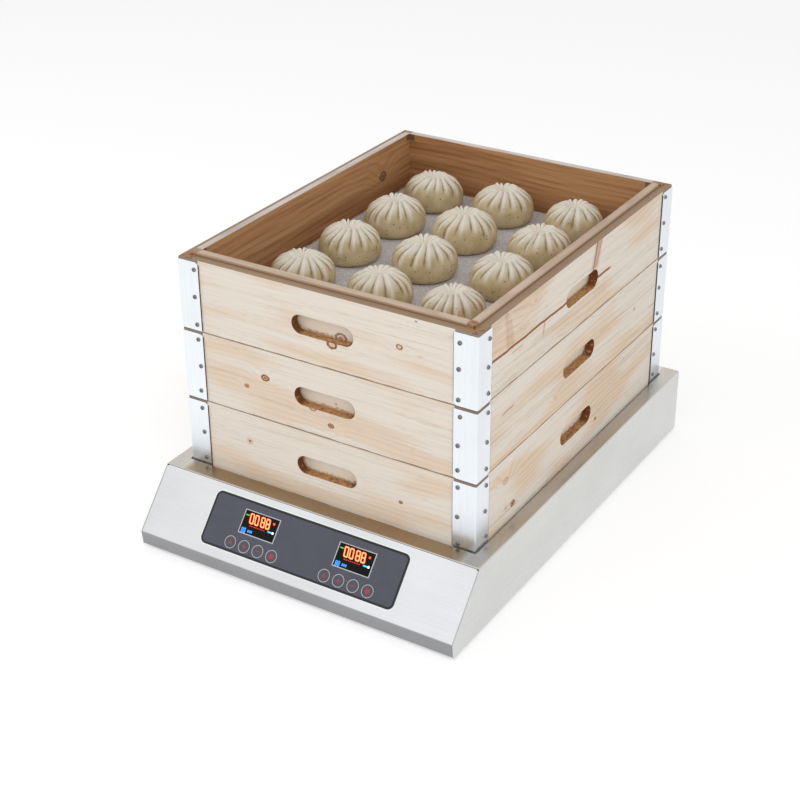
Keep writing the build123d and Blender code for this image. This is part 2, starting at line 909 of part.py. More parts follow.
def drain_ball():
    """The valve's ball and stem, closed: its bore stands across the pipe."""
    inlet, outlet, _ = valve_y()
    z = drain_axis()
    middle = (inlet + outlet) / 2
    top = lever_z() + lever_thickness + valve_stem_top
    ball = Pos(drain_x, middle, z) * Sphere(ball_radius)
    ball += rod(valve_stem, (drain_x, middle, z), (drain_x, middle, top))
    return ball - rod(ball_bore, (drain_x - ball_radius, middle, z), (drain_x + ball_radius, middle, z))


def lever_z():
    """The lever's underside, just over the valve's neck."""
    return drain_axis() + valve_radius + valve_neck_height + lever_gap


def drain_lever():
    """The lever with its grip, across the pipe when the valve is closed."""
    inlet, outlet, _ = valve_y()
    middle = (inlet + outlet) / 2
    z = lever_z()
    place = Pos(drain_x + lever_length / 2 - lever_width / 2, middle, z)
    bar = place * extrude(SlotOverall(lever_length, lever_width), lever_thickness)
    tip = drain_x + lever_length - lever_width / 2
    wall = lever_grip_wall
    width = lever_width / 2 + wall
    high = z + lever_thickness + wall
    grip = block(tip - lever_grip, tip + wall, middle - width, middle + width, z - wall, high)
    grip = fillet(grip.edges(), wall)
    return bar + grip - rod(valve_stem, (drain_x, middle, z), (drain_x, middle, z + lever_thickness))


def valve_lever_nut():
    """The nut that holds the lever on its stem."""
    inlet, outlet, _ = valve_y()
    middle = (inlet + outlet) / 2
    z = lever_z() + lever_thickness
    outline = RegularPolygon(lever_nut / 2, 6, major_radius=False)
    nut = extrude(Pos(drain_x, middle, z) * outline, lever_nut_thickness)
    return nut - rod(valve_stem, (drain_x, middle, z), (drain_x, middle, z + lever_nut_thickness))


# Cable gland


def gland_body():
    """The gland's hexagon against the back panel, with threads to both sides and the cord's bore."""
    z = foot_height + gland_rise
    place = Plane(origin=(gland_x, back_y, z), z_dir=(0, 1, 0))
    body = extrude(place * RegularPolygon(gland_hex / 2, 6, major_radius=False), gland_hex_length)
    start = (gland_x, back_y - gland_thread_in, z)
    end = (gland_x, back_y + gland_thread_out, z)
    return body + rod(gland_thread, start, end) - rod(gland_bore, start, end)


def gland_nuts():
    """The dome nut that squeezes the gland's seal on the cord, and the locknut inside the back panel."""
    z = foot_height + gland_rise
    y0 = back_y + gland_hex_length
    y1 = y0 + gland_dome_length
    nut = rod(gland_dome_radius, (gland_x, y0, z), (gland_x, y1, z))
    nut = fillet(nut.edges().sort_by(Axis.Y)[-1], gland_dome_edge)
    grip = Plane(origin=(gland_x, y0, z), z_dir=(0, 1, 0))
    nut += extrude(grip * RegularPolygon(gland_dome_radius, 6, major_radius=False), gland_dome_length / 2)
    nut -= rod(gland_thread, (gland_x, y0, z), (gland_x, back_y + gland_thread_out, z))
    nut -= rod(gland_bore, (gland_x, y0, z), (gland_x, y1, z))
    face = back_y - sheet
    place = Plane(origin=(gland_x, face, z), z_dir=(0, -1, 0))
    locknut = extrude(place * RegularPolygon(gland_hex / 2, 6, major_radius=False), locknut_thickness)
    locknut -= rod(gland_thread, (gland_x, face, z), (gland_x, face - locknut_thickness, z))
    return solids(nut, locknut)


# Control panel


def control_overlay():
    """The printed cover sheet on the fascia, with windows for the displays and holes for the keys."""
    middle = panel_top + panel_length / 2
    place = on_slope(0, middle, 0)
    cover = place * extrude(RectangleRounded(panel_width, panel_length, panel_corner), overlay)
    cover -= panel_cuts(bezel_width, 6 * overlay)
    return cover


def display_bezels():
    """The thin frames round the two displays."""
    width = display_width
    length = display_length
    frame = extrude(Rectangle(width, length) - inner_window(), overlay + bezel_proud)
    return solids(*[on_slope(x, display_down, 0) * frame for x in display_centres()])


def inner_window():
    """The clear window inside a display's frame."""
    return Rectangle(display_width - 2 * bezel_width, display_length - 2 * bezel_width)


def display_lenses():
    """The clear windows inside the frames."""
    lens = Pos(0, 0, lens_drop) * extrude(inner_window(), overlay)
    return solids(*[on_slope(x, display_down, 0) * lens for x in display_centres()])


def display_modules():
    """The display blocks that stand on the control boards and fill the fascia's windows."""
    low = -circuit_depth
    block_up = Pos(0, 0, low) * extrude(inner_window(), lens_drop - low)
    return solids(*[on_slope(x, display_down, 0) * block_up for x in display_centres()])


def control_boards():
    """One circuit board for each side, parallel to the fascia."""
    pieces = []
    for x in display_centres():
        place = on_slope(x, circuit_top + circuit_length / 2, -circuit_depth)
        card = place * extrude(Rectangle(circuit_width, circuit_length), -circuit_thickness)
        pieces.append(card)
    return solids(*pieces)


def board_standoffs():
    """Posts from the fascia's back to the corners of the control boards."""
    pieces = []
    for middle in display_centres():
        for dx in (-1, 1):
            for dy in (-1, 1):
                x = middle + dx * (circuit_width / 2 - standoff_edge)
                down = circuit_top + circuit_length / 2 + dy * (circuit_length / 2 - standoff_edge)
                post = extrude(Circle(standoff_radius), circuit_depth - sheet)
                pieces.append(on_slope(x, down, -circuit_depth) * post)
    return solids(*pieces)


def tact_switches():
    """A small switch on the board under each key."""
    pieces = []
    low = -circuit_depth
    for _, x, down in key_places():
        switch = Pos(0, 0, low + switch_body / 2) * Box(switch_size, switch_size, switch_body)
        switch += Pos(0, 0, low + switch_body) * extrude(Circle(switch_plunger), switch_plunger_height)
        pieces.append(on_slope(x, down, 0) * switch)
    return solids(*pieces)


def key(x, down):
    """One round key: a cap flush in the panel, a flange behind the fascia and a stem over its switch."""
    back = -sheet
    cap = Pos(0, 0, back) * extrude(Circle(key_radius), sheet + overlay + key_proud)
    cap = chamfer(cap.edges().sort_by(Axis.Z)[-1], key_edge)
    shoulder = back - key_flange_thickness
    cap += Pos(0, 0, shoulder) * extrude(Circle(key_radius + key_flange), key_flange_thickness)
    switch_top = -circuit_depth + switch_body + switch_plunger_height
    stem_end = switch_top + key_travel + switch_gap
    cap += Pos(0, 0, stem_end) * extrude(Circle(key_stem), shoulder - stem_end)
    return on_slope(x, down, 0) * cap


# Mains parts


def terminal_block():
    """The mains terminal block on the bottom plate, with one screw well for each way."""
    y = back_y - flange - terminal_back - terminal_depth / 2
    x0 = terminal_x - terminal_width / 2
    low = foot_height
    place = Pos(terminal_x, y, low + terminal_height / 2)
    body = place * Box(terminal_width, terminal_depth, terminal_height)
    step = terminal_width / terminal_ways
    for i in range(terminal_ways):
        place = Pos(x0 + (i + 0.5) * step, y, low + terminal_height)
        body -= place * Cylinder(terminal_well, 2 * terminal_well_depth)
    return body


def power_relays():
    """Two relays on the bottom plate, one for each element, with their tabs on top."""
    y = front_y + relay_back
    pieces = []
    for side in (-1, 1):
        x = side * relay_x
        high = foot_height + relay_height
        case = Pos(x, y, foot_height + relay_height / 2) * Box(relay_width, relay_depth, relay_height)
        for tab in relay_tabs(x):
            case += tab_block(tab, y - tab_width / 2, y + tab_width / 2, high, high + relay_tab_height)
        pieces.append(case)
    return solids(*pieces)


def relay_tabs(x):
    """The tabs of the relay at x, from the left."""
    return [x + (i - 1.5) * relay_tab_pitch for i in range(4)]


def wire(radius, bend_radius, *points):
    """A round wire through the points with rounded bends."""
    path = FilletPolyline(*points, radius=bend_radius)
    line = Vector(*points[1]) - Vector(*points[0])
    return sweep(Plane(origin=points[0], z_dir=line) * Circle(radius), path)


def slope_point(x, down, height):
    """The coordinates of a place on the fascia."""
    return tuple(on_slope(x, down, height).position)


def supply_cables():
    """The two supply cables under the tank, from the terminal block to the back of each relay."""
    z = foot_height + supply_rise
    start_y = back_y - flange - terminal_back - terminal_depth
    end_y = front_y + relay_back + relay_depth / 2
    turn_back = start_y - supply_bend - supply_straight
    turn_front = end_y + supply_bend + supply_straight
    right = terminal_x + supply_spread
    left = terminal_x - supply_spread
    out = [(right, start_y, z), (right, turn_back, z), (supply_side, turn_back, z)]
    to_right = out + [(supply_side, turn_front, z), (relay_x, turn_front, z), (relay_x, end_y, z)]
    to_left = [(left, start_y, z), (left, turn_back, z), (-relay_x, turn_back, z), (-relay_x, end_y, z)]
    return [wire(supply_radius, supply_bend, *to_right), wire(supply_radius, supply_bend, *to_left)]


def wiring():
    """Supply cables, the leads from each relay to its element's tails and one to its control board."""
    pieces = supply_cables()
    relay_y = front_y + relay_back
    tab_z = foot_height + relay_height + relay_tab_height
    high = tab_z + lead_rise
    tail_y = -tank_y - element_tail
    lead_y = tail_y - lead_front
    z = element_z()
    outer = element_inner_leg + 3 * element_leg_pitch
    for side in (-1, 1):
        tabs = sorted(relay_tabs(side * relay_x), key=abs)
        for tail, tab in ((element_inner_leg, tabs[0]), (outer, tabs[3])):
            run = [(side * tail, tail_y, z), (side * tail, lead_y, z), (tab, lead_y, z)]
            rise = [(tab, lead_y, high), (tab, relay_y, high), (tab, relay_y, tab_z)]
            pieces.append(wire(lead_radius, lead_bend, *run, *rise))
        stub = slope_point(tabs[1], lead_down, -circuit_depth - circuit_thickness - lead_stub)
        end = slope_point(tabs[1], lead_down, -circuit_depth - circuit_thickness)
        start = (tabs[1], relay_y, tab_z)
        pieces.append(wire(lead_radius, panel_lead_bend, start, (tabs[1], relay_y, high), stub, end))
    return solids(*pieces)


# Every node by its name


def all_nodes():
    """Name and shape of every node."""
    nodes = {}
    front = end_board()
    right = side_board()
    angles = corner_angles()
    battens = floor_battens()
    slats = floor_slats()
    cloth = steamer_cloth()
    for i, bottom in enumerate(tray_bottoms):
        tray_parts = {
            "end_boards": drilled([front, mirror(front, Plane.XZ)], i),
            "side_boards": drilled([right, mirror(right, Plane.YZ)], i),
            "corner_angles": drilled(angles, i),
            "angle_screws": angle_screws(i),
            "floor_battens": battens,
            "floor_slats": slats,
            "steamer_cloth": cloth,
        }
        for name, shape in tray_parts.items():
            nodes[f"tray_{i + 1}_{name}"] = Pos(0, 0, bottom) * shape
    nodes["buns"] = buns()
    nodes["top_shell"] = top_shell()
    nodes["front_fascia"] = front_fascia()
    nodes["bottom_plate"] = bottom_plate()
    nodes["rubber_feet"] = rubber_feet()
    nodes["base_screws"] = base_screws()
    nodes["water_tank"] = water_tank()
    nodes["heating_elements"] = solids(heating_element(-1), heating_element(1))
    nodes["element_fittings"] = element_fittings()
    nodes["element_rests"] = element_rests()
    nodes["float_stem"] = float_stem()
    nodes["water_float"] = water_float()
    nodes["thermostats"] = thermostats()
    nodes["temperature_probes"] = temperature_probes()
    nodes["drain_pipe"] = drain_pipe()
    nodes["drain_valve_body"] = drain_valve_body()
    nodes["drain_ball"] = drain_ball()
    nodes["drain_lever"] = drain_lever()
    nodes["lever_nut"] = valve_lever_nut()
    nodes["gland_body"] = gland_body()
    nodes["gland_nuts"] = gland_nuts()
    nodes["control_overlay"] = control_overlay()
    nodes["display_bezels"] = display_bezels()
    nodes["display_lenses"] = display_lenses()
    nodes["display_modules"] = display_modules()
    nodes["control_boards"] = control_boards()
    nodes["board_standoffs"] = board_standoffs()
    nodes["tact_switches"] = tact_switches()
    nodes["terminal_block"] = terminal_block()
    nodes["power_relays"] = power_relays()
    nodes["wiring"] = wiring()
    for name, x, down in key_places():
        nodes[name] = key(x, down)
    return nodes


os.makedirs("parts", exist_ok=True)
for node, shape in all_nodes().items():
    export_step(shape, f"parts/{node}.step")
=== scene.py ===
"""Looks of the dumpling steamer: fir trays, corner angles, buns, steel base and panel over the CAD frame."""

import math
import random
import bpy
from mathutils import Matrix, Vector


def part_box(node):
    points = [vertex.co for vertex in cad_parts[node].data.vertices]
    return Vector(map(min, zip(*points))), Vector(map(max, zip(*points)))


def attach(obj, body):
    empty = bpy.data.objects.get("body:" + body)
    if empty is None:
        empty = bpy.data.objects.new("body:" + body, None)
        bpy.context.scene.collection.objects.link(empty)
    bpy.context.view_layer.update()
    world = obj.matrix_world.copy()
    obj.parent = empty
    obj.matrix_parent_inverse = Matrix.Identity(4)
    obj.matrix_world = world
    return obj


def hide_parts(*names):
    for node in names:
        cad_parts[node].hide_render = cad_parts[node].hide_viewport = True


bl_info = {
    "name": "Dumpling steamer",
    "version": (1, 0, 0),
    "blender": (4, 5, 0),
    "location": "3D View > Sidebar > Steamer",
    "description": "Builds the steamer's visible pieces over its CAD frame, with materials, lamps and camera",
    "category": "Object",
}

import bmesh
import bpy
from bpy.props import FloatProperty, FloatVectorProperty, IntProperty, PointerProperty
from mathutils import Matrix, Vector, noise

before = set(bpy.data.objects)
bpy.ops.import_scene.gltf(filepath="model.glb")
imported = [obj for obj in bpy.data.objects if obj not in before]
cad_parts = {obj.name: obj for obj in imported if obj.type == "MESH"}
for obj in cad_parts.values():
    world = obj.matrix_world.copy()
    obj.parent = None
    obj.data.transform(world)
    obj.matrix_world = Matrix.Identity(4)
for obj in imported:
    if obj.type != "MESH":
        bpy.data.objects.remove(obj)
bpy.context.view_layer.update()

MM = 0.001
TRAYS = (1, 2, 3)


def box_mm(node):
    """A CAD node's low and high corner in millimetres."""
    return [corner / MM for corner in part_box(node)]


# Sizes of the trays, read from the frame or named as in the part's source, in millimetres
BOARD = 20.0
TRAY_BASE = {tray: box_mm(f"tray_{tray}_end_boards")[0].z for tray in TRAYS}
TRAY_TOP = box_mm("tray_3_end_boards")[1]
HALF_W = TRAY_TOP.x
HALF_D = TRAY_TOP.y
INNER_W = HALF_W - BOARD
INNER_D = HALF_D - BOARD
SHOULDER = TRAY_BASE[2] - TRAY_BASE[1]
TONGUE = 9.5
HOLD_Z = 46.2
HOLD_REACH = 29.75
HOLD_RADIUS = 12.25
HOLD_DEPTH = 12.0
ANGLE_REACH = 29.0

# The sloping panel: its top edge and directions, where things stand on it, and how far out each print lies
SLOPE_TOP = Vector((0.0, -275.0, 91.0))
SLOPE_DOWN = Vector((0.0, -60.0, -68.0)).normalized()
SLOPE_OUT = Vector((0.0, -68.0, 60.0)).normalized()
LIP_TOP = 23.0
PANEL_TOP = 11.0
PANEL_LENGTH = 67.0
DISPLAYS = {"left": -65.2, "right": 69.8}
DISPLAY_DOWN = 37.0
KEY_DOWN = 66.2
KEY_PITCH = 20.0
SLOPE_PRINT = 0.05
FILM_PRINT = 0.83
LENS_PRINT = 0.93
CAP_PRINT = 1.12


def linear(text):
    """An sRGB colour such as "#DDD0C0" as linear red, green and blue."""
    values = [int(text[i : i + 2], 16) / 255 for i in (1, 3, 5)]
    return tuple(v / 12.92 if v <= 0.04045 else ((v + 0.055) / 1.055) ** 2.4 for v in values)


def colour(name, description, default):
    """A colour property with its default written as sRGB."""
    words = {"name": name, "description": description, "default": linear(default)}
    return FloatVectorProperty(subtype="COLOR", min=0, max=1, **words)


def length(name, description, millimetres):
    """A length property with its default in millimetres."""
    default = millimetres * MM
    return FloatProperty(name=name, description=description, default=default, unit="LENGTH", precision=4)


def angle(name, description, degrees):
    """An angle property with its default in degrees."""
    return FloatProperty(name=name, description=description, default=math.radians(degrees), subtype="ANGLE")


class SteamerWood(bpy.types.PropertyGroup):
    """Sizes and colours of the trays' wood."""

    edge: length("Edge", "Rounding of the boards' edges", 0.6)
    crest: length("Crest", "Rounding of the tongue's top", 2.2)
    pale: colour("Pale", "Spring wood on the outside", "#F5EBDF")
    streak: colour("Streak", "Darker streaks on the outside", "#D0B79A")
    warm: colour("Warm", "Warm bands on the outside", "#F0D4B6")
    inside: colour("Inside", "Steamed wood on the inside", "#C29468")
    inside_dark: colour("Inside dark", "Dark grain on the inside", "#8E6038")
    tongue: colour("Tongue", "Top of the tongue", "#D2BCA6")
    # The step's colour is darker than the tongue top as painted shade
    shoulder_shaded: colour("Shoulder", "Step beside the tongue", "#A58D74")
    hold: colour("Hold", "Walls of the hand-holds", "#B5895A")
    knot: colour("Knot", "Knots and cracks", "#8A5228")
    # Painted shade in the joint between two trays
    seam: colour("Seam", "Joint between two trays", "#7E6044")


class SteamerBuns(bpy.types.PropertyGroup):
    """Form and colour of the buns."""

    pleats: IntProperty(name="Pleats", description="Pleats on a bun", default=14, min=8, max=30)
    depth: length("Pleat depth", "Depth of the grooves between the pleats", 2.8)
    dough: colour("Dough", "Colour of the dough", "#C8B592")
    shade: colour("Shade", "Darker patches", "#AE9B70")
    highlight_and_flour: colour("Ridge", "Lit crests and crown", "#ECE8E0")
    # Painted shade in the grooves between the pleats
    groove: colour("Groove", "Colour in the grooves", "#7C6238")
    speck: colour("Speck", "Bran specks", "#6A4C2C")


class SteamerCloth(bpy.types.PropertyGroup):
    """The cloth under the buns."""

    ripple: length("Ripple", "Height of the cloth's ripples", 0.5)
    light: colour("Light", "Raised threads", "#D8D2D0")
    dark: colour("Dark", "Gaps between the threads", "#A9A1A2")


class SteamerSteel(bpy.types.PropertyGroup):
    """Colours of the metal."""

    shell: colour("Shell", "Deck and cheeks", "#DBDCDA")
    slope: colour("Slope", "Sloping front", "#EEF0F3")
    # The lip's grey is painted shade and reflection on the same steel as the slope
    lip: colour("Lip", "Upright lip under the slope", "#9D9DA0")
    angle: colour("Angles", "Corner angles", "#EFF4F9")
    # Painted reflection of the dark deck on the foot of the lowest angles
    angle_foot_reflection: colour("Angles low", "Foot of the lowest angles", "#DDE2E8")
    # Painted shade and reflection of the wood on the angles' cut edges
    angle_edge_shade: colour("Angle edge", "Cut edges of the angles", "#5A4C42")
    screw: colour("Screws", "Screws", "#8A8B8F")
    edge: length("Edge", "Rounding of the metal's edges", 0.25)


class SteamerPanel(bpy.types.PropertyGroup):
    """Colours of the control panel."""

    film: colour("Film", "Printed film", "#525460")
    border: colour("Border", "Border line", "#111114")
    outline: colour("Outline", "Line round the film", "#F4F4F6")
    ring: colour("Ring", "Rings round the keys", "#B8B8BC")
    symbol: colour("Symbol", "Symbols on the keys", "#A8303A")
    digit: colour("Digit", "Lit digits", "#FF4A14")
    core: colour("Core", "Bright core of the digits", "#FFB878")


class SteamerStage(bpy.types.PropertyGroup):
    """Camera and lamps."""

    lens: FloatProperty(name="Lens", description="Focal length on a 36 mm sensor", default=73.85)
    azimuth: angle("Azimuth", "Camera angle round the object from its front", 32.14)
    elevation: angle("Elevation", "Camera angle above the floor", 28.871)
    roll: angle("Roll", "Camera roll", -0.508)
    distance: length("Distance", "Camera distance from the point it looks at", 2153.5)
    ambient: FloatProperty(name="Ambient", description="Strength of the even light", default=0.62)
    key: FloatProperty(name="Key", description="Power of the key lamp in watts", default=24.0)
    fill: FloatProperty(name="Fill", description="Power of the fill lamp in watts", default=12.0)


GROUPS = {
    "steamer_wood": SteamerWood,
    "steamer_buns": SteamerBuns,
    "steamer_cloth": SteamerCloth,
    "steamer_steel": SteamerSteel,
    "steamer_panel": SteamerPanel,
    "steamer_stage": SteamerStage,
}


# Materials


class Shade:
    """A material's node tree, with short calls for the nodes that it needs."""

    def __init__(self, name):
        self.material = bpy.data.materials.new(name)
        self.material.use_nodes = True
        self.tree = self.material.node_tree
        self.tree.nodes.clear()
        self.surface = self.tree.nodes.new("ShaderNodeBsdfPrincipled")
        output = self.tree.nodes.new("ShaderNodeOutputMaterial")
        self.tree.links.new(self.surface.outputs[0], output.inputs["Surface"])

    def put(self, socket, value):
        """Links a socket to another, or sets its constant value."""
        if isinstance(value, bpy.types.NodeSocket):
            self.tree.links.new(value, socket)
        elif socket.type == "RGBA":
            socket.default_value = (*value[:3], 1.0)
        else:
            socket.default_value = value

    def add(self, kind, inputs, output=0, **settings):
        """A node with its inputs by name or number; gives one of its outputs."""
        node = self.tree.nodes.new(kind)
        for key, value in settings.items():
            setattr(node, key, value)
        for key, value in inputs.items():
            self.put(node.inputs[key], value)
        return node.outputs[output]

    def point(self):
        """The object coordinates in millimetres."""
        place = self.tree.nodes.new("ShaderNodeTexCoord").outputs["Object"]
        return self.add("ShaderNodeVectorMath", {0: place, 3: 1 / MM}, operation="SCALE")

    def split(self, vector):
        """A vector's three parts."""
        node = self.tree.nodes.new("ShaderNodeSeparateXYZ")
        self.put(node.inputs[0], vector)
        return node.outputs

    def join(self, x, y, z):
        """A vector of three parts."""
        return self.add("ShaderNodeCombineXYZ", {0: x, 1: y, 2: z})

    def math(self, operation, a, b=0.0):
        """A sum, product or other operation on two numbers."""
        return self.add("ShaderNodeMath", {0: a, 1: b}, operation=operation)

    def absolute(self, value):
        """A number without its sign."""
        return self.math("ABSOLUTE", value)

    def minus(self, a, b):
        """The first number less the second."""
        return self.math("SUBTRACT", a, b)

    def most(self, a, b):
        """The larger of two numbers."""
        return self.math("MAXIMUM", a, b)

    def above(self, value, level):
        """1 where a number is above a level."""
        return self.math("GREATER_THAN", value, level)

    def below(self, value, level):
        """1 where a number is below a level."""
        return self.math("LESS_THAN", value, level)

    def product(self, first, *others):
        """The product of several numbers."""
        for other in others:
            first = self.math("MULTIPLY", first, other)
        return first

    def total(self, first, *others):
        """The sum of several numbers."""
        for other in others:
            first = self.math("ADD", first, other)
        return first

    def reach(self, a, b):
        """The distance of two numbers from zero, taken as the sides of a right angle."""
        return self.add("ShaderNodeVectorMath", {0: self.join(a, b, 0.0)}, 1, operation="LENGTH")

    def fade(self, value, start, end, low=0.0, high=1.0):
        """A smooth step from low at start to high at end."""
        inputs = {"Value": value, "From Min": start, "From Max": end, "To Min": low, "To Max": high}
        return self.add("ShaderNodeMapRange", inputs, interpolation_type="SMOOTHSTEP")

    def between(self, value, low, high, soft):
        """1 between low and high, fading to 0 over soft outside them."""
        return self.product(self.fade(value, low - soft, low), self.fade(value, high, high + soft, 1.0, 0.0))

    def mix(self, factor, a, b, blend="MIX"):
        """Two colours mixed."""
        inputs = {0: factor, 6: a, 7: b}
        return self.add("ShaderNodeMix", inputs, 2, data_type="RGBA", blend_type=blend, clamp_factor=True)

    def noise(self, vector, scale, detail=2.0, rough=0.5):
        """Noise from 0 to 1."""
        inputs = {"Vector": vector, "Scale": scale, "Detail": detail, "Roughness": rough}
        return self.add("ShaderNodeTexNoise", inputs)

    def bump(self, height, distance, strength=1.0):
        """Gives the surface a relief, with distance in millimetres."""
        inputs = {"Height": height, "Distance": distance * MM, "Strength": strength}
        self.put(self.surface.inputs["Normal"], self.add("ShaderNodeBump", inputs))

    def finish(self, base, roughness, metallic=0.0, **more):
        """Sets the surface's values; names use underscores for spaces."""
        values = {"Base Color": base, "Roughness": roughness, "Metallic": metallic}
        values.update({key.replace("_", " "): value for key, value in more.items()})
        for key, value in values.items():
            self.put(self.surface.inputs[key], value)
        return self.material


def plain(name, base, roughness, metallic=0.0, **more):
    """A material of one colour, a little mottled and unevenly glossy as after some use."""
    s = Shade(name)
    cloud = s.noise(s.point(), 0.05, 3.0)
    grain = s.noise(s.point(), 1.2, 2.0)
    worn = s.total(s.fade(cloud, 0.3, 0.7, 0.0, 0.06), s.fade(grain, 0.3, 0.7, 0.0, 0.04))
    rough = s.fade(grain, 0.3, 0.7, roughness - 0.05, roughness + 0.05)
    return s.finish(s.mix(worn, base, (0.0, 0.0, 0.0)), rough, metallic, **more)


def glow(name, base, strength):
    """A lit material."""
    return plain(name, base, 0.5, Emission_Color=base, Emission_Strength=strength)


# Knots: layer, side, place along the board, height, size, and how dark the core and the rim are
KNOTS = {
    ("x", 3): [
        ("outer", -1, 13, 304, 6.5, 0.4, 0.9),
        ("outer", -1, 102, 324.7, 4.2, 0.35, 0.85),
        ("outer", -1, 123.5, 361, 1.6, 0.7, 0.7),
        ("hold", -1, 17.4, 308.4, 8.0, 0.6, 0.75),
    ],
    ("x", 2): [
        ("outer", -1, -83, 235.5, 5.5, 0.75, 1.0),
        ("outer", -1, -110.6, 217.8, 3.4, 0.9, 0.7),
        ("outer", -1, -16.3, 214.7, 5, 0.3, 0.7),
        ("outer", -1, 8.2, 198, 4, 0.8, 0.9),
        ("hold", -1, 7.8, 221, 2.2, 0.8, 0.6),
    ],
    ("x", 1): [("outer", -1, -111, 142, 5, 0.8, 0.3), ("outer", -1, 102, 125, 2.6, 1.0, 1.0)],
    ("y", 3): [("outer", 1, -120, 351, 2.5, 0.2, 0.3), ("inner", -1, 161, 330, 8, 0.9, 0.9)],
    ("y", 2): [("outer", 1, 157, 227, 3, 0.6, 0.5), ("outer", 1, -60, 200, 3, 0.25, 0.3)],
    ("y", 1): [
        ("outer", 1, 56, 116, 3, 0.8, 0.8),
        ("outer", 1, -180, 148, 6, 0.35, 0.45),
        ("outer", 1, -161, 108, 5, 0.95, 0.9),
        ("outer", 1, -178, 110, 3, 0.6, 0.4),
    ],
}

# Long cracks on the outside: side, along from, along to, height, half-width, darkness
CRACKS = {
    ("y", 3): [(1, -232, 72, 317, 1.1, 1.0), (1, -170, -150, 309, 0.8, 0.45), (1, -232, -140, 340, 0.4, 0.3)],
    ("y", 2): [(1, 60, 230, 236, 0.5, 0.35), (1, -190, -168, 240, 1.0, 0.5)],
    ("y", 1): [(1, -235, -150, 104, 0.6, 0.4)],
    ("x", 1): [(-1, -60, 40, 118, 0.4, 0.2)],
    ("x", 3): [(-1, 60, 160, 336, 0.4, 0.25)],
}

# Water stains: side, place along the board at the low end, low, high, half-width, darkness, lean
STAINS = {
    ("y", 3): [
        (1, 27, 330, 366, 1.6, 0.75, 0.25),
        (1, 36, 336, 366, 1.6, 0.6, 0.35),
        (1, 31, 334, 368, 6.0, 0.5, 0.3),
        (1, -181, 318, 364, 3.0, 0.3, -0.15),
        (1, -172, 316, 352, 3.0, 0.25, -0.2),
        (1, -98, 303, 316, 1.2, 0.5, 0.2),
    ],
}


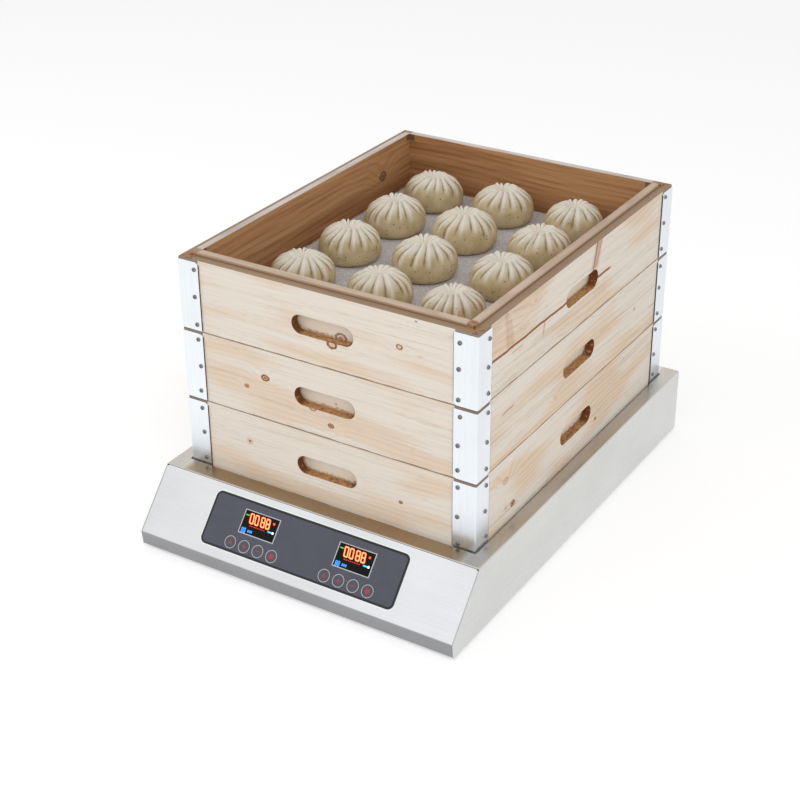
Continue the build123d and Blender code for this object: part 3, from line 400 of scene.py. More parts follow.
class Board:
    """The shading of one tray's boards along one axis: pale fir outside, steamed brown wood inside."""

    def __init__(self, tray, along):
        self.tray = tray
        self.along = along
        self.wood = bpy.context.scene.steamer_wood
        self.shade = s = Shade(f"fir_{tray}_{along}")
        self.x, self.y, self.z = s.split(s.point())
        self.run, self.deep = (self.x, self.y) if along == "x" else (self.y, self.x)
        self.half = HALF_D if along == "x" else HALF_W
        self.seed = 31.7 * tray + (0.0 if along == "x" else 113.3)
        self.up = s.minus(self.z, TRAY_BASE[tray])
        self.away = s.absolute(self.deep)
        self.side = s.math("SIGN", self.deep)
        self.shift = s.total(s.product(self.side, 57.0), self.seed)
        self.outside = s.above(self.away, self.half - 0.9)
        self.dark = 0.0

    def inset(self):
        """How far a place lies inside the hand-hold's outline; below 0 outside it."""
        s = self.shade
        beyond = s.most(s.minus(s.absolute(self.run), HOLD_REACH), 0.0)
        rise = s.minus(self.up, HOLD_Z)
        return s.minus(HOLD_RADIUS, s.reach(beyond, rise))

    def recess(self):
        """1 on the hand-hold's walls and floor."""
        s = self.shade
        band = s.between(self.away, self.half - HOLD_DEPTH - 0.5, self.half - 0.7, 0.2)
        return s.product(band, s.above(self.inset(), -0.6))

    def mask(self, layer, flank):
        """1 on one face of the board: its outside, its inside, or the floor of its hand-hold."""
        s = self.shade
        face = self.outside
        if layer == "inner":
            face = s.below(self.away, self.half - BOARD + 1.0)
        elif layer == "hold":
            face = self.recess()
        return s.product(face, s.math("COMPARE", self.side, float(flank)))

    def grain(self):
        """The grain's lines, bent round the knots, with streaks of three widths; 0 to 1 each."""
        s = self.shade
        flow = s.join(s.product(self.run, 0.0024), s.product(self.z, 0.008), self.shift)
        warp = s.noise(flow, 1.0, 2.0)
        saw = s.math("FRACT", s.total(s.product(self.up, 0.12), s.product(warp, 7.0), self.halo))
        self.late = s.product(s.fade(saw, 0.3, 0.9), s.fade(saw, 1.0, 0.9))
        far = s.total(self.shift, s.product(self.deep, 0.1))
        self.streak = s.noise(s.join(s.product(self.run, 0.004), s.product(self.z, 0.1), far), 1.0, 3.0, 0.55)
        self.thread = s.noise(s.join(s.product(self.run, 0.01), s.product(self.z, 0.6), far), 1.0, 2.0)
        short = s.join(s.product(self.run, 0.05), s.product(self.z, 1.6), s.total(self.shift, self.deep))
        self.tick = s.noise(short, 1.0, 2.0)
        wide = s.join(s.product(self.run, 0.006), s.product(self.z, 0.024), self.shift)
        self.patch = s.noise(wide, 1.0, 1.0)

    def knots(self):
        """Adds the knots' cores and rims to the dark marks, and bends the rings round them."""
        s = self.shade
        self.halo = 0.0
        for layer, flank, place, height, size, core, rim in KNOTS.get((self.along, self.tray), []):
            wall = self.mask(layer, flank)
            dx = s.product(s.minus(self.run, float(place)), 0.75)
            dz = s.minus(self.z, float(height))
            rough = s.noise(s.join(self.run, self.z, self.seed + place), 0.3, 3.0)
            far = s.total(s.reach(dx, dz), s.product(s.minus(rough, 0.5), 0.4 * size))
            middle = s.fade(far, 0.5 * size, 0.25 * size, 0.0, core)
            edge = s.product(s.between(far, 0.55 * size, 0.72 * size, 0.22 * size), rim)
            self.dark = s.most(self.dark, s.product(s.most(middle, edge), wall))
            self.halo = s.total(self.halo, s.product(s.fade(far, 4.5 * size, 0.0), 0.3 * size, wall))

    def line(self, flank, across, place, lengthwise, start, end, thick, strength, wander, lean=0.0):
        """Adds a thin dark line that wanders about a place, from start to end. It leans with the length."""
        s = self.shade
        drift = s.noise(s.join(s.product(lengthwise, 0.03), self.seed, float(place)), 1.0, 3.0)
        middle = s.total(s.product(s.minus(drift, 0.5), wander), float(place))
        middle = s.total(middle, s.product(s.minus(lengthwise, float(start)), lean))
        gap = s.absolute(s.minus(across, middle))
        mark = s.product(s.fade(gap, 2.4 * thick, 0.5 * thick), self.mask("outer", flank), strength)
        self.dark = s.most(self.dark, s.product(mark, s.between(lengthwise, start, end, 6.0)))

    def cracks(self):
        """Adds the cracks and the water stains to the dark marks."""
        for flank, start, end, height, thick, strength in CRACKS.get((self.along, self.tray), []):
            self.line(flank, self.z, height, self.run, start, end, thick, strength, 5.0)
        for flank, place, low, high, thick, strength, lean in STAINS.get((self.along, self.tray), []):
            self.line(flank, self.run, place, self.z, low, high, thick, strength, 3.0, lean)

    def skin(self):
        """The outside: pale wood with warm bands, faint lines, short dark ticks, and the dark marks."""
        s, w = self.shade, self.wood
        strong = 1.0 if self.along == "y" else 0.6
        base = s.mix(s.fade(self.patch, 0.46, 0.64, 0.0, 0.4 + 0.4 * strong), w.pale, w.warm)
        contrast = s.fade(self.patch, 0.3, 0.7, 0.04, 0.34 * strong)
        lines = s.total(s.product(self.late, contrast), s.fade(self.streak, 0.5, 0.8, 0.0, 0.4 * strong))
        threads = s.fade(self.thread, 0.5, 0.8, 0.0, 0.32)
        ticks = s.product(s.fade(self.tick, 0.6, 0.74), s.fade(self.streak, 0.4, 0.58), 0.9)
        self.fine = s.total(lines, threads, ticks)
        base = s.mix(self.fine, base, w.streak)
        tint = s.mix(self.dark, (1.0, 1.0, 1.0), linear("#C98F58"))
        base = s.mix(1.0, base, tint, "MULTIPLY")
        return s.mix(s.fade(self.dark, 0.35, 1.0, 0.0, 0.9), base, w.knot)

    def steamed(self):
        """The inside: brown, with long fine dark lines."""
        s, w = self.shade, self.wood
        tone = s.total(s.product(self.late, 0.25), s.fade(self.streak, 0.35, 0.7, 0.0, 0.6))
        tone = s.total(tone, s.fade(self.thread, 0.45, 0.75, 0.0, 0.35))
        tone = s.total(tone, s.fade(self.tick, 0.6, 0.8, 0.0, 0.25))
        low = s.fade(self.up, 70.0, 25.0, 0.0, 0.4)
        base = s.mix(tone, w.inside, w.inside_dark)
        base = s.mix(low, base, linear("#8A5230"))
        return s.mix(s.product(self.dark, 0.8), base, linear("#4A2C18"))

    def rim(self):
        """The step and the tongue along the board's top: the step painted darker as shade, and darker still
        in the crease at the tongue's foot; the tongue's outer face shaded towards the step; the far boards'
        tongue tops painted lighter; and brown end grain at the corners.
        """
        s, w = self.shade, self.wood
        past_x = s.minus(s.absolute(self.x), INNER_W + TONGUE)
        past_y = s.minus(s.absolute(self.y), INNER_D + TONGUE)
        from_tongue = s.most(past_x, past_y)
        # Painted shade: the step darkens in the crease at the foot of the tongue
        foot = s.fade(from_tongue, 1.3, 0.4, 0.0, 0.85)
        step = s.mix(foot, w.shoulder_shaded, linear("#8A6848"))
        # Painted light: the tongue tops of the left side board and the back end board are painted lighter
        # than the others
        far_side = "LESS_THAN" if self.along == "y" else "GREATER_THAN"
        crest = s.mix(s.math(far_side, self.side, 0.0), w.tongue, linear("#DDD4CE"))
        # Painted shade: the tongue's outer face darkens towards the step below it
        wall = s.fade(self.up, SHOULDER + 3.2, SHOULDER + 0.9, 0.0, 0.8)
        wall = s.product(s.above(from_tongue, -0.8), wall)
        crest = s.mix(wall, crest, linear("#9C7A5A"))
        base = s.mix(s.above(self.up, SHOULDER + 0.8), step, crest)
        tone = s.total(s.product(self.late, 0.35), s.fade(self.streak, 0.4, 0.75, 0.0, 0.45))
        tone = s.total(tone, s.fade(self.thread, 0.5, 0.8, 0.0, 0.5))
        base = s.mix(s.product(tone, 0.6), base, linear("#8E7058"))
        corner = s.math("MINIMUM", past_x, past_y)
        pits = s.noise(s.join(self.x, self.y, self.z), 0.35, 2.0)
        end = s.mix(s.fade(pits, 0.55, 0.62), linear("#A9805A"), linear("#4E3018"))
        return s.mix(s.fade(corner, -TONGUE, 1.0 - TONGUE, 0.0, 0.85), base, end)

    def hand_hold(self, skin):
        """The hand-hold: brown walls, darker at the ends partly from burn marks and partly as painted shade,
        and a floor painted pale to lift its shade, which browns unevenly towards its edges, partly as burn
        and partly as painted shade of a rounded cove.
        """
        s, w = self.shade, self.wood
        # The walls darken towards the ends of the hand-hold, partly as burn marks and partly as painted shade
        ends = s.fade(s.absolute(self.run), HOLD_REACH - 2.0, HOLD_REACH + 0.6 * HOLD_RADIUS)
        walls = s.mix(ends, w.hold, linear("#744420"))
        mottle = s.noise(s.join(self.run, self.z, self.deep), 0.22, 3.0, 0.6)
        walls = s.mix(s.fade(mottle, 0.5, 0.66, 0.0, 0.75), walls, linear("#6E4220"))
        walls = s.mix(s.fade(mottle, 0.46, 0.32, 0.0, 0.5), walls, linear("#D9B486"))
        # The floor browns towards its edges, partly as burn and partly as painted shade of a rounded cove
        # that the shape does not have
        burn_and_cove_shade = s.total(self.inset(), s.product(s.minus(mottle, 0.5), 9.0))
        # Painted light: the floor is lightened to lift the shade it lies in
        pale = s.mix(0.85, skin, linear("#FFF3E2"))
        floor = s.mix(s.fade(burn_and_cove_shade, 4.0, 0.0, 0.0, 0.8), pale, w.hold)
        floor = s.mix(s.fade(self.dark, 0.3, 0.9, 0.0, 0.9), floor, w.knot)
        on_floor = s.below(self.away, self.half - HOLD_DEPTH + 0.4)
        return s.mix(on_floor, walls, floor)

    def shaded_seams(self):
        """1 in the joints between this tray and its neighbours, where painted shade stands for the gap
        between the trays.
        """
        s = self.shade
        uneven = s.noise(s.join(s.product(self.run, 0.03), self.seed, 0.0), 1.0, 3.0)
        joint = s.below(self.up, s.fade(uneven, 0.3, 0.7, 0.6, 1.5))
        if self.tray < max(TRAYS):
            joint = s.most(joint, s.above(self.up, SHOULDER - 0.6))
        return s.product(joint, s.above(self.away, self.half - 3.0))

    def finish(self):
        """The finished material."""
        s, w = self.shade, self.wood
        self.knots()
        self.cracks()
        self.grain()
        skin = self.skin()
        inner_x = s.below(s.absolute(self.x), INNER_W + 0.5)
        inner_y = s.below(s.absolute(self.y), INNER_D + 0.5)
        inner = s.product(inner_x, inner_y)
        base = s.mix(inner, skin, self.steamed())
        base = s.mix(self.recess(), base, self.hand_hold(skin))
        # Painted shade in the joints between the trays
        base = s.mix(s.product(self.shaded_seams(), 0.85), base, w.seam)
        # Painted shade in the gaps between the corner angles of adjacent trays, near the top and bottom of
        # each board
        half = HALF_W if self.along == "x" else HALF_D
        under = s.above(s.absolute(self.run), half - ANGLE_REACH + 1.0)
        level = s.most(s.fade(self.up, 6.0, 3.0), s.fade(self.up, SHOULDER - 6.0, SHOULDER - 3.0))
        base = s.mix(s.product(under, level, 0.7), base, linear("#54402C"))
        over = s.above(self.up, SHOULDER - 0.35)
        base = s.mix(s.product(over, s.minus(1.0, inner)), base, self.rim())
        s.bump(s.total(s.product(self.fine, -0.4), s.product(self.dark, -0.6)), 0.2, 0.5)
        return s.finish(base, 0.62, Specular_IOR_Level=0.3)


def brushed(name, base, along, roughness=0.3, depth=0.2, shade=None):
    """Steel with fine brush lines along one axis. A shade function may change its colour by place."""
    s = Shade(name)
    x, y, z = s.split(s.point())
    parts = {"x": (0.012, 3.1, 3.1), "y": (3.1, 0.012, 3.1), "z": (3.1, 3.1, 0.012)}[along]
    stretched = s.join(s.product(x, parts[0]), s.product(y, parts[1]), s.product(z, parts[2]))
    lines = s.noise(stretched, 1.0, 2.0, 0.6)
    cloud = s.noise(s.join(x, y, z), 0.01, 2.0)
    shaded = shade(s, x, y, z) if shade else base
    worn = s.total(s.fade(lines, 0.3, 0.7, 0.0, 0.07), s.fade(cloud, 0.3, 0.7, 0.0, 0.06))
    s.bump(lines, 0.01, depth)
    rough = s.fade(lines, 0.25, 0.75, roughness - 0.04, roughness + 0.06)
    return s.finish(s.mix(worn, shaded, (0.0, 0.0, 0.0)), rough, 1.0)


def angle_tint(s, x, y, z):
    """The corner angles' colour: bright, greyed at the foot of the lowest ones by a painted reflection of the
    deck, and darkened on their cut edges by painted shade and reflection of the wood.
    """
    m = bpy.context.scene.steamer_steel
    foot = TRAY_BASE[1]
    # Painted reflection: the lowest angles grey towards the deck
    base = s.mix(s.fade(z, foot + 60.0, foot + 10.0), m.angle, m.angle_foot_reflection)
    # Painted shade and reflection of the wood darken the angles' cut edges
    cut_x = s.below(s.absolute(x), HALF_W - ANGLE_REACH + 0.45)
    cut_y = s.below(s.absolute(y), HALF_D - ANGLE_REACH + 0.45)
    return s.mix(s.most(cut_x, cut_y), base, m.angle_edge_shade)


def deck_tint(s, x, y, z):
    """The deck and cheeks' colour: the deck carries a painted brown reflection of the wood before the lowest
    tray and beside it.
    """
    m = bpy.context.scene.steamer_steel
    # Painted reflection of the tray's wood on the deck
    on_deck = s.above(z, SLOPE_TOP.z - 0.6)
    before = s.fade(y, -HALF_D + 4.0, -HALF_D - 2.0)
    before = s.product(before, s.fade(s.absolute(x), HALF_W + 4.0, HALF_W - 12.0))
    beside = s.fade(s.absolute(x), HALF_W - 4.0, HALF_W + 2.0, 0.0, 0.4)
    near = s.product(on_deck, s.most(before, beside), 0.8)
    return s.mix(near, m.shell, linear("#A3865C"))


def front_tint(s, x, y, z):
    """The fascia's colour: the slope brightened from left to right by a painted reflection, the lip painted a
    shaded grey, and painted shade in a line where it meets the deck.
    """
    m = bpy.context.scene.steamer_steel
    # Painted reflection: the slope brightens from left to right
    glance = s.fade(x, -220.0, 220.0, 0.0, 1.0)
    slope = s.mix(glance, linear("#E8E9EB"), m.slope)
    # Painted shade: the upright lip is painted a darker grey than the slope
    base = s.mix(s.fade(z, LIP_TOP + 1.2, LIP_TOP - 0.6), slope, m.lip)
    # Painted shade in the joint where the fascia meets the deck
    return s.mix(s.above(z, SLOPE_TOP.z - 1.7), base, linear("#5E5954"))


def dough():
    """Steamed dough: painted highlights on the crests, a crown whitened partly by flour and partly as painted
    light, painted shade in the grooves and scattered bran specks.
    """
    b = bpy.context.scene.steamer_buns
    s = Shade("dough")
    point = s.point()
    groove, crest, height = (s.add("ShaderNodeAttribute", {}, 2, attribute_name=name) for name in LAYERS)
    mottle = s.noise(point, 0.06, 3.0)
    base = s.mix(s.fade(mottle, 0.35, 0.7, 0.0, 0.7), b.dough, b.shade)
    base = s.mix(s.fade(s.noise(point, 0.22, 2.0), 0.42, 0.7, 0.0, 0.3), base, b.shade)
    # The crown is whitened, partly as flour and partly as painted light from above
    base = s.mix(s.fade(height, 0.65, 1.0, 0.0, 0.7), base, b.highlight_and_flour)
    # Painted highlight along each pleat's crest
    base = s.mix(s.product(crest, 0.55), base, b.highlight_and_flour)
    # Painted shade in the grooves, weaker near the crown
    valley = s.product(s.fade(groove, 0.2, 1.0, 0.0, 0.9), s.fade(height, 1.0, 0.85, 0.35, 1.0))
    base = s.mix(valley, base, b.groove)
    cells = s.tree.nodes.new("ShaderNodeTexVoronoi")
    s.put(cells.inputs["Vector"], point)
    s.put(cells.inputs["Scale"], 0.27)
    pick = s.add("ShaderNodeSeparateColor", {0: cells.outputs["Color"]})
    size = s.product(s.fade(pick, 0.35, 1.0, 0.0, 0.27), s.fade(height, 0.95, 0.5, 0.5, 1.0))
    speck = s.below(cells.outputs["Distance"], size)
    base = s.mix(s.product(speck, 0.85), base, b.speck)
    s.bump(s.noise(point, 0.5, 3.0), 0.15, 0.5)
    values = {"Subsurface_Weight": 0.2, "Subsurface_Scale": 0.004, "Specular_IOR_Level": 0.35}
    return s.finish(base, 0.55, **values)


def weave():
    """A fine plain weave."""
    c = bpy.context.scene.steamer_cloth
    s = Shade("steamer_cloth")
    point = s.point()
    x, y, _ = s.split(point)
    threads = s.product(s.math("SINE", s.product(x, 3.6)), s.math("SINE", s.product(y, 3.6)))
    coarse = s.noise(point, 0.45, 2.0, 0.7)
    blotch = s.noise(point, 0.035, 2.0)
    tone = s.total(s.product(threads, 0.14), s.fade(coarse, 0.25, 0.75))
    tone = s.total(tone, s.fade(blotch, 0.3, 0.7, -0.12, 0.12))
    s.bump(s.total(s.product(threads, 0.4), coarse), 0.5, 0.7)
    return s.finish(s.mix(tone, c.dark, c.light), 0.9, Sheen_Weight=0.2)


# Pieces


def place(name, bm, body, slot, materials, replaces=()):
    """An object at the origin, made of a finished bmesh, that rides on a body and stands for CAD nodes."""
    mesh = bpy.data.meshes.new(name)
    bm.to_mesh(mesh)
    bm.free()
    for material in materials:
        mesh.materials.append(material)
    piece = bpy.data.objects.new(name, mesh)
    bpy.context.scene.collection.objects.link(piece)
    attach(piece, body)
    if replaces:
        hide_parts(*replaces)
    return piece


def smooth(piece, sharp=50.0):
    """Smooth shading with sharp edges above an angle, and the flat faces kept flat."""
    mesh = piece.data
    mesh.shade_smooth()
    mesh.set_sharp_from_angle(angle=math.radians(sharp))
    weighted = piece.modifiers.new("weighted_normals", "WEIGHTED_NORMAL")
    weighted.keep_sharp = True
    return piece


def round_edges(bm, edges, width, steps):
    """Rounds some edges of a bmesh."""
    options = {"affect": "EDGES", "segments": steps, "profile": 0.5, "material": -1, "clamp_overlap": True}
    bmesh.ops.bevel(bm, geom=edges, offset=width, offset_type="OFFSET", **options)


def dressed(node, body, slot, material, edge, steps=2, crest=0.0):
    """A merged copy of a CAD node with rounded edges, its top ones rounder, which stands for the node."""
    bm = bmesh.new()
    bm.from_mesh(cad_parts[node].data)
    bmesh.ops.remove_doubles(bm, verts=bm.verts, dist=1e-6)
    bmesh.ops.dissolve_limit(bm, angle_limit=math.radians(0.5), verts=bm.verts, edges=bm.edges)
    edges = [e for e in bm.edges if len(e.link_faces) == 2 and e.calc_face_angle(0.0) > math.radians(40)]
    if crest:
        top = max(vert.co.z for vert in bm.verts) - 0.1 * MM
        high = [e for e in edges if all(vert.co.z > top for vert in e.verts)]
        edges = [e for e in edges if e not in high]
        round_edges(bm, high, crest, 4)
        edges = [e for e in edges if e.is_valid]
    if edge:
        round_edges(bm, edges, edge, steps)
    return smooth(place(f"{node}_look", bm, body, slot, [material], [node]))


def paint(node, material):
    """Gives a CAD node its material."""
    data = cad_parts[node].data
    data.materials.clear()
    data.materials.append(material)


def build_trays():
    """Boards, angles, screws and floors of the three trays."""
    w = bpy.context.scene.steamer_wood
    m = bpy.context.scene.steamer_steel
    steel = brushed("angle_steel", m.angle, "z", 0.30, 0.2, angle_tint)
    screw = plain("screw_steel", tuple(m.screw), 0.32, 1.0)
    floor = plain("floor_wood", linear("#A9794C"), 0.7)
    for tray in TRAYS:
        body = f"tray_{tray}"
        dressed(f"{body}_end_boards", body, "fir", Board(tray, "x").finish(), w.edge, 2, w.crest)
        dressed(f"{body}_side_boards", body, "fir", Board(tray, "y").finish(), w.edge, 2, w.crest)
        dressed(f"{body}_corner_angles", body, "angle_steel", steel, m.edge)
        paint(f"{body}_angle_screws", screw)
        paint(f"{body}_floor_battens", floor)
        paint(f"{body}_floor_slats", floor)


# Spacing of the cloth's points in millimetres
CLOTH_CELL = 4.0


def build_cloths():
    """One cloth laid on each tray's slats, as a fine grid with small ripples."""
    c = bpy.context.scene.steamer_cloth
    material = weave()
    for tray in TRAYS:
        node = f"tray_{tray}_steamer_cloth"
        low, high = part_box(node)
        size = high - low
        bm = bmesh.new()
        lay = Matrix.Translation((0.0, 0.0, high.z)) @ Matrix.Diagonal((high.x, high.y, 1.0, 1.0))
        cells = (round(size.x / CLOTH_CELL / MM), round(size.y / CLOTH_CELL / MM))
        bmesh.ops.create_grid(bm, x_segments=cells[0], y_segments=cells[1], size=1.0, matrix=lay)
        for vert in bm.verts:
            lift = noise.noise(Vector((vert.co.x * 20, vert.co.y * 20, 3.7 * tray)))
            vert.co.z += c.ripple * (0.5 + 0.5 * lift)
        piece = place(f"{node}_woven", bm, f"tray_{tray}", "cloth", [material], [node])
        piece.data.shade_smooth()
        thick = piece.modifiers.new("thickness", "SOLIDIFY")
        thick.thickness = size.z
        thick.offset = -1.0


# A bun's outline from the middle of its foot to its crown: radius and height in millimetres
OUTLINE = [
    (0, 0),
    (20, 0),
    (31, 0.2),
    (35.4, 1.6),
    (38.6, 5.6),
    (40.0, 11),
    (40.1, 16.5),
    (39.2, 22.5),
    (36.8, 28.5),
    (32.8, 34),
    (27.2, 38.4),
    (20.8, 41.6),
    (15.2, 43.4),
    (11.4, 43.4),
    (8.0, 41.8),
    (5.2, 40.0),
    (2.6, 39.0),
    (0, 38.7),
]
BUN_TOP = 43.8
BUN_RADIUS = 40.0

# Where a pleat's crest lies, from 0 to 1 across it, and where the knuckles stand round the crown
CREST_AT = 0.3
KNUCKLE_RADIUS = 16.0
KNUCKLE_REACH = 3.6

# The values kept at each point of a bun for its shading
LAYERS = ("groove", "crest", "height")

# Each bun's shift from its place in the CAD rows, in millimetres, and its size, from the front left
BUN_LAY = [
    (-1.3, -5.0, 0.98),
    (0.7, 1.0, 0.975),
    (-3.2, 0.3, 0.97),
    (-1.0, -3.8, 0.99),
    (1.4, 0.9, 1.015),
    (3.4, 5.8, 0.995),
    (1.9, -1.0, 0.99),
    (-0.6, 2.0, 1.035),
    (1.7, 4.4, 0.995),
    (0.9, -4.2, 0.98),
    (0.1, -0.1, 1.005),
    (-1.5, 2.0, 0.955),
]


def curve_through(points, count):
    """Points evenly spaced along a smooth curve through the given ones."""
    fine = []
    for i in range(len(points) - 1):
        a = Vector(points[max(i - 1, 0)])
        b = Vector(points[i])
        c = Vector(points[i + 1])
        d = Vector(points[min(i + 2, len(points) - 1)])
        for k in range(20):
            t = k / 20
            bend = (2 * a - 5 * b + 4 * c - d) * t**2 + (3 * b - a - 3 * c + d) * t**3
            fine.append(0.5 * (2 * b + (c - a) * t + bend))
    fine.append(Vector(points[-1]))
    lengths = [0.0]
    for a, b in zip(fine, fine[1:]):
        lengths.append(lengths[-1] + (b - a).length)
    even = []
    at = 0
    for k in range(count + 1):
        want = lengths[-1] * k / count
        while at < len(fine) - 2 and lengths[at + 1] < want:
            at += 1
        span = max(lengths[at + 1] - lengths[at], 1e-9)
        even.append(fine[at].lerp(fine[at + 1], min(1.0, (want - lengths[at]) / span)))
    return even


def ease(value, start, end):
    """A smooth step from 0 at start to 1 at end."""
    t = min(1.0, max(0.0, (value - start) / (end - start)))
    return t * t * (3 - 2 * t)


class Bun:
    """A hand-pleated bun: folds fan out from a pinched crown and fade out above a smooth foot."""

    def __init__(self, rng, pleats, depth):
        self.pleats = pleats
        self.depth = depth
        self.edges = sorted((i + rng.uniform(-0.27, 0.27)) * math.tau / pleats for i in range(pleats))
        self.starts = [rng.uniform(12.0, 25.0) for _ in range(pleats)]
        self.depths = [rng.uniform(0.65, 1.35) for _ in range(pleats)]
        self.knobs = [rng.uniform(0.8, 3.2) for _ in range(pleats)]
        self.twist = rng.uniform(0.2, 0.45)
        self.turn = rng.uniform(0, math.tau)
        tip_x = Matrix.Rotation(rng.uniform(-0.03, 0.03), 3, "X")
        self.tip = tip_x @ Matrix.Rotation(rng.uniform(-0.03, 0.03), 3, "Y")
        self.seed = rng.uniform(0, 100)

    def fold(self, angle):
        """The fold at an angle, how far across it the angle lies from 0 to 1, and the nearer groove."""
        local = (angle - self.edges[0]) % math.tau + self.edges[0]
        i = max(j for j in range(self.pleats) if self.edges[j] <= local + 1e-9)
        ahead = self.edges[(i + 1) % self.pleats] + (math.tau if i == self.pleats - 1 else 0.0)
        t = (local - self.edges[i]) / (ahead - self.edges[i])
        return i, t, i if t < 0.5 else (i + 1) % self.pleats

    def shape(self, vert, layers):
        """Moves one point of the spun outline to its place on the pleated bun."""
        groove, crest, height = layers
        radius = math.hypot(vert.co.x, vert.co.y)
        up = vert.co.z
        vert[height] = up / BUN_TOP
        if up < 1.0:
            return
        angle = math.atan2(vert.co.y, vert.co.x)
        swirl = self.twist * (1 - min(1.0, radius / 41.0)) ** 1.5
        i, t, near = self.fold(angle - swirl)
        side = t / CREST_AT if t < CREST_AT else (1 - t) / (1 - CREST_AT)
        hump = math.sin(math.pi / 2 * side) ** (0.7 if t < CREST_AT else 0.9)
        rise = ease(up, self.starts[near], self.starts[near] + 13.0)
        inner = ease(radius, 1.0, 13.0)
        cut = self.depth / MM * rise * self.depths[near] * (0.1 + 0.9 * inner)
        crown = ease(up, 30.0, 40.0)
        where = Vector((0.03 * vert.co.x, 0.03 * vert.co.y, self.seed + 0.03 * up))
        lump = 1.1 * noise.noise(where) * min(1.0, up / 6)
        out = radius + (hump - 1.0) * cut * 0.6 * inner + (lump + 0.5 * rise * hump) * inner
        bead = math.sin(math.pi * t) ** 0.6
        ring = math.exp(-(((radius - KNUCKLE_RADIUS) / KNUCKLE_REACH) ** 2))
        knuckle = self.knobs[i] * bead * ring * crown
        vert.co.x = out * math.cos(angle)
        vert.co.y = out * math.sin(angle)
        vert.co.z = up + (hump - 1.0) * cut * crown * 0.7 + knuckle
        # How deep in a groove the point lies, used to paint shade in the grooves
        vert[groove] = (1.0 - hump) ** 1.5 * rise * inner
        # Where the crest lies, used to paint its highlight
        vert[crest] = math.exp(-(((t - CREST_AT) / 0.14) ** 2)) * rise * inner

    def mesh(self, centre, floor, scale):
        """The bun's bmesh in metres, standing at a place."""
        bm = bmesh.new()
        layers = [bm.verts.layers.float.new(name) for name in LAYERS]
        line = [bm.verts.new((max(r, 0.0), 0.0, z)) for r, z in curve_through(OUTLINE, 72)]
        line += [bm.edges.new(pair) for pair in zip(line, line[1:])]
        turns = {"axis": (0, 0, 1), "cent": (0, 0, 0), "angle": math.tau, "use_merge": True}
        bmesh.ops.spin(bm, geom=line, steps=12 * self.pleats, **turns)
        bmesh.ops.remove_doubles(bm, verts=bm.verts, dist=1e-3)
        bmesh.ops.recalc_face_normals(bm, faces=bm.faces)
        spin = Matrix.Rotation(self.turn, 3, "Z") @ self.tip
        for vert in bm.verts:
            self.shape(vert, layers)
            moved = spin @ (vert.co * scale)
            vert.co = Vector((centre[0] + moved.x, centre[1] + moved.y, floor + max(0.0, moved.z))) * MM
        return bm


def build_buns():
    """The buns on the top tray's cloth, each pleated a little differently."""
    b = bpy.context.scene.steamer_buns
    rng = random.Random(11)
    material = dough()
    low, high = box_mm("buns")
    floor = box_mm("tray_3_steamer_cloth")[1].z + 0.35
    pitch_x = (high.x - low.x - 2 * BUN_RADIUS) / 2
    pitch_y = (high.y - low.y - 2 * BUN_RADIUS) / 3
    for i, (dx, dy, scale) in enumerate(BUN_LAY):
        x = low.x + BUN_RADIUS + (i % 3) * pitch_x + dx
        y = low.y + BUN_RADIUS + (i // 3) * pitch_y + dy
        bun = Bun(rng, b.pleats + rng.choice((-1, 0, 0, 1)), b.depth)
        shaped = bun.mesh((x, y), floor, scale)
        piece = place(f"bun_{i + 1:02d}", shaped, "tray_3", "dough", [material], ["buns"])
        piece.data.shade_smooth()


def build_base():
    """Shell, fascia, bottom plate, feet and screws."""
    m = bpy.context.scene.steamer_steel
    front = brushed("fascia_steel", m.slope, "x", 0.3, 0.15, front_tint)
    shell = brushed("shell_steel", m.shell, "y", 0.3, 0.15, deck_tint)
    dressed("front_fascia", "base", "shell_steel", front, 0.0)
    dressed("top_shell", "base", "shell_steel", shell, 0.0)
    paint("bottom_plate", shell)
    paint("base_screws", bpy.data.materials["screw_steel"])
    dressed("rubber_feet", "base", "foot_rubber", plain("foot_rubber", linear("#1C1C1D"), 0.8), 0.4)


def on_slope(x, down, out):
    """A place on the sloping panel: millimetres across, down the slope and out of it; y is up the slope."""
    origin = SLOPE_TOP + Vector((x, 0, 0)) + SLOPE_DOWN * down + SLOPE_OUT * out
    turned = Matrix((Vector((1, 0, 0)), -SLOPE_DOWN, SLOPE_OUT)).transposed().to_4x4()
    return Matrix.Translation(origin) @ turned


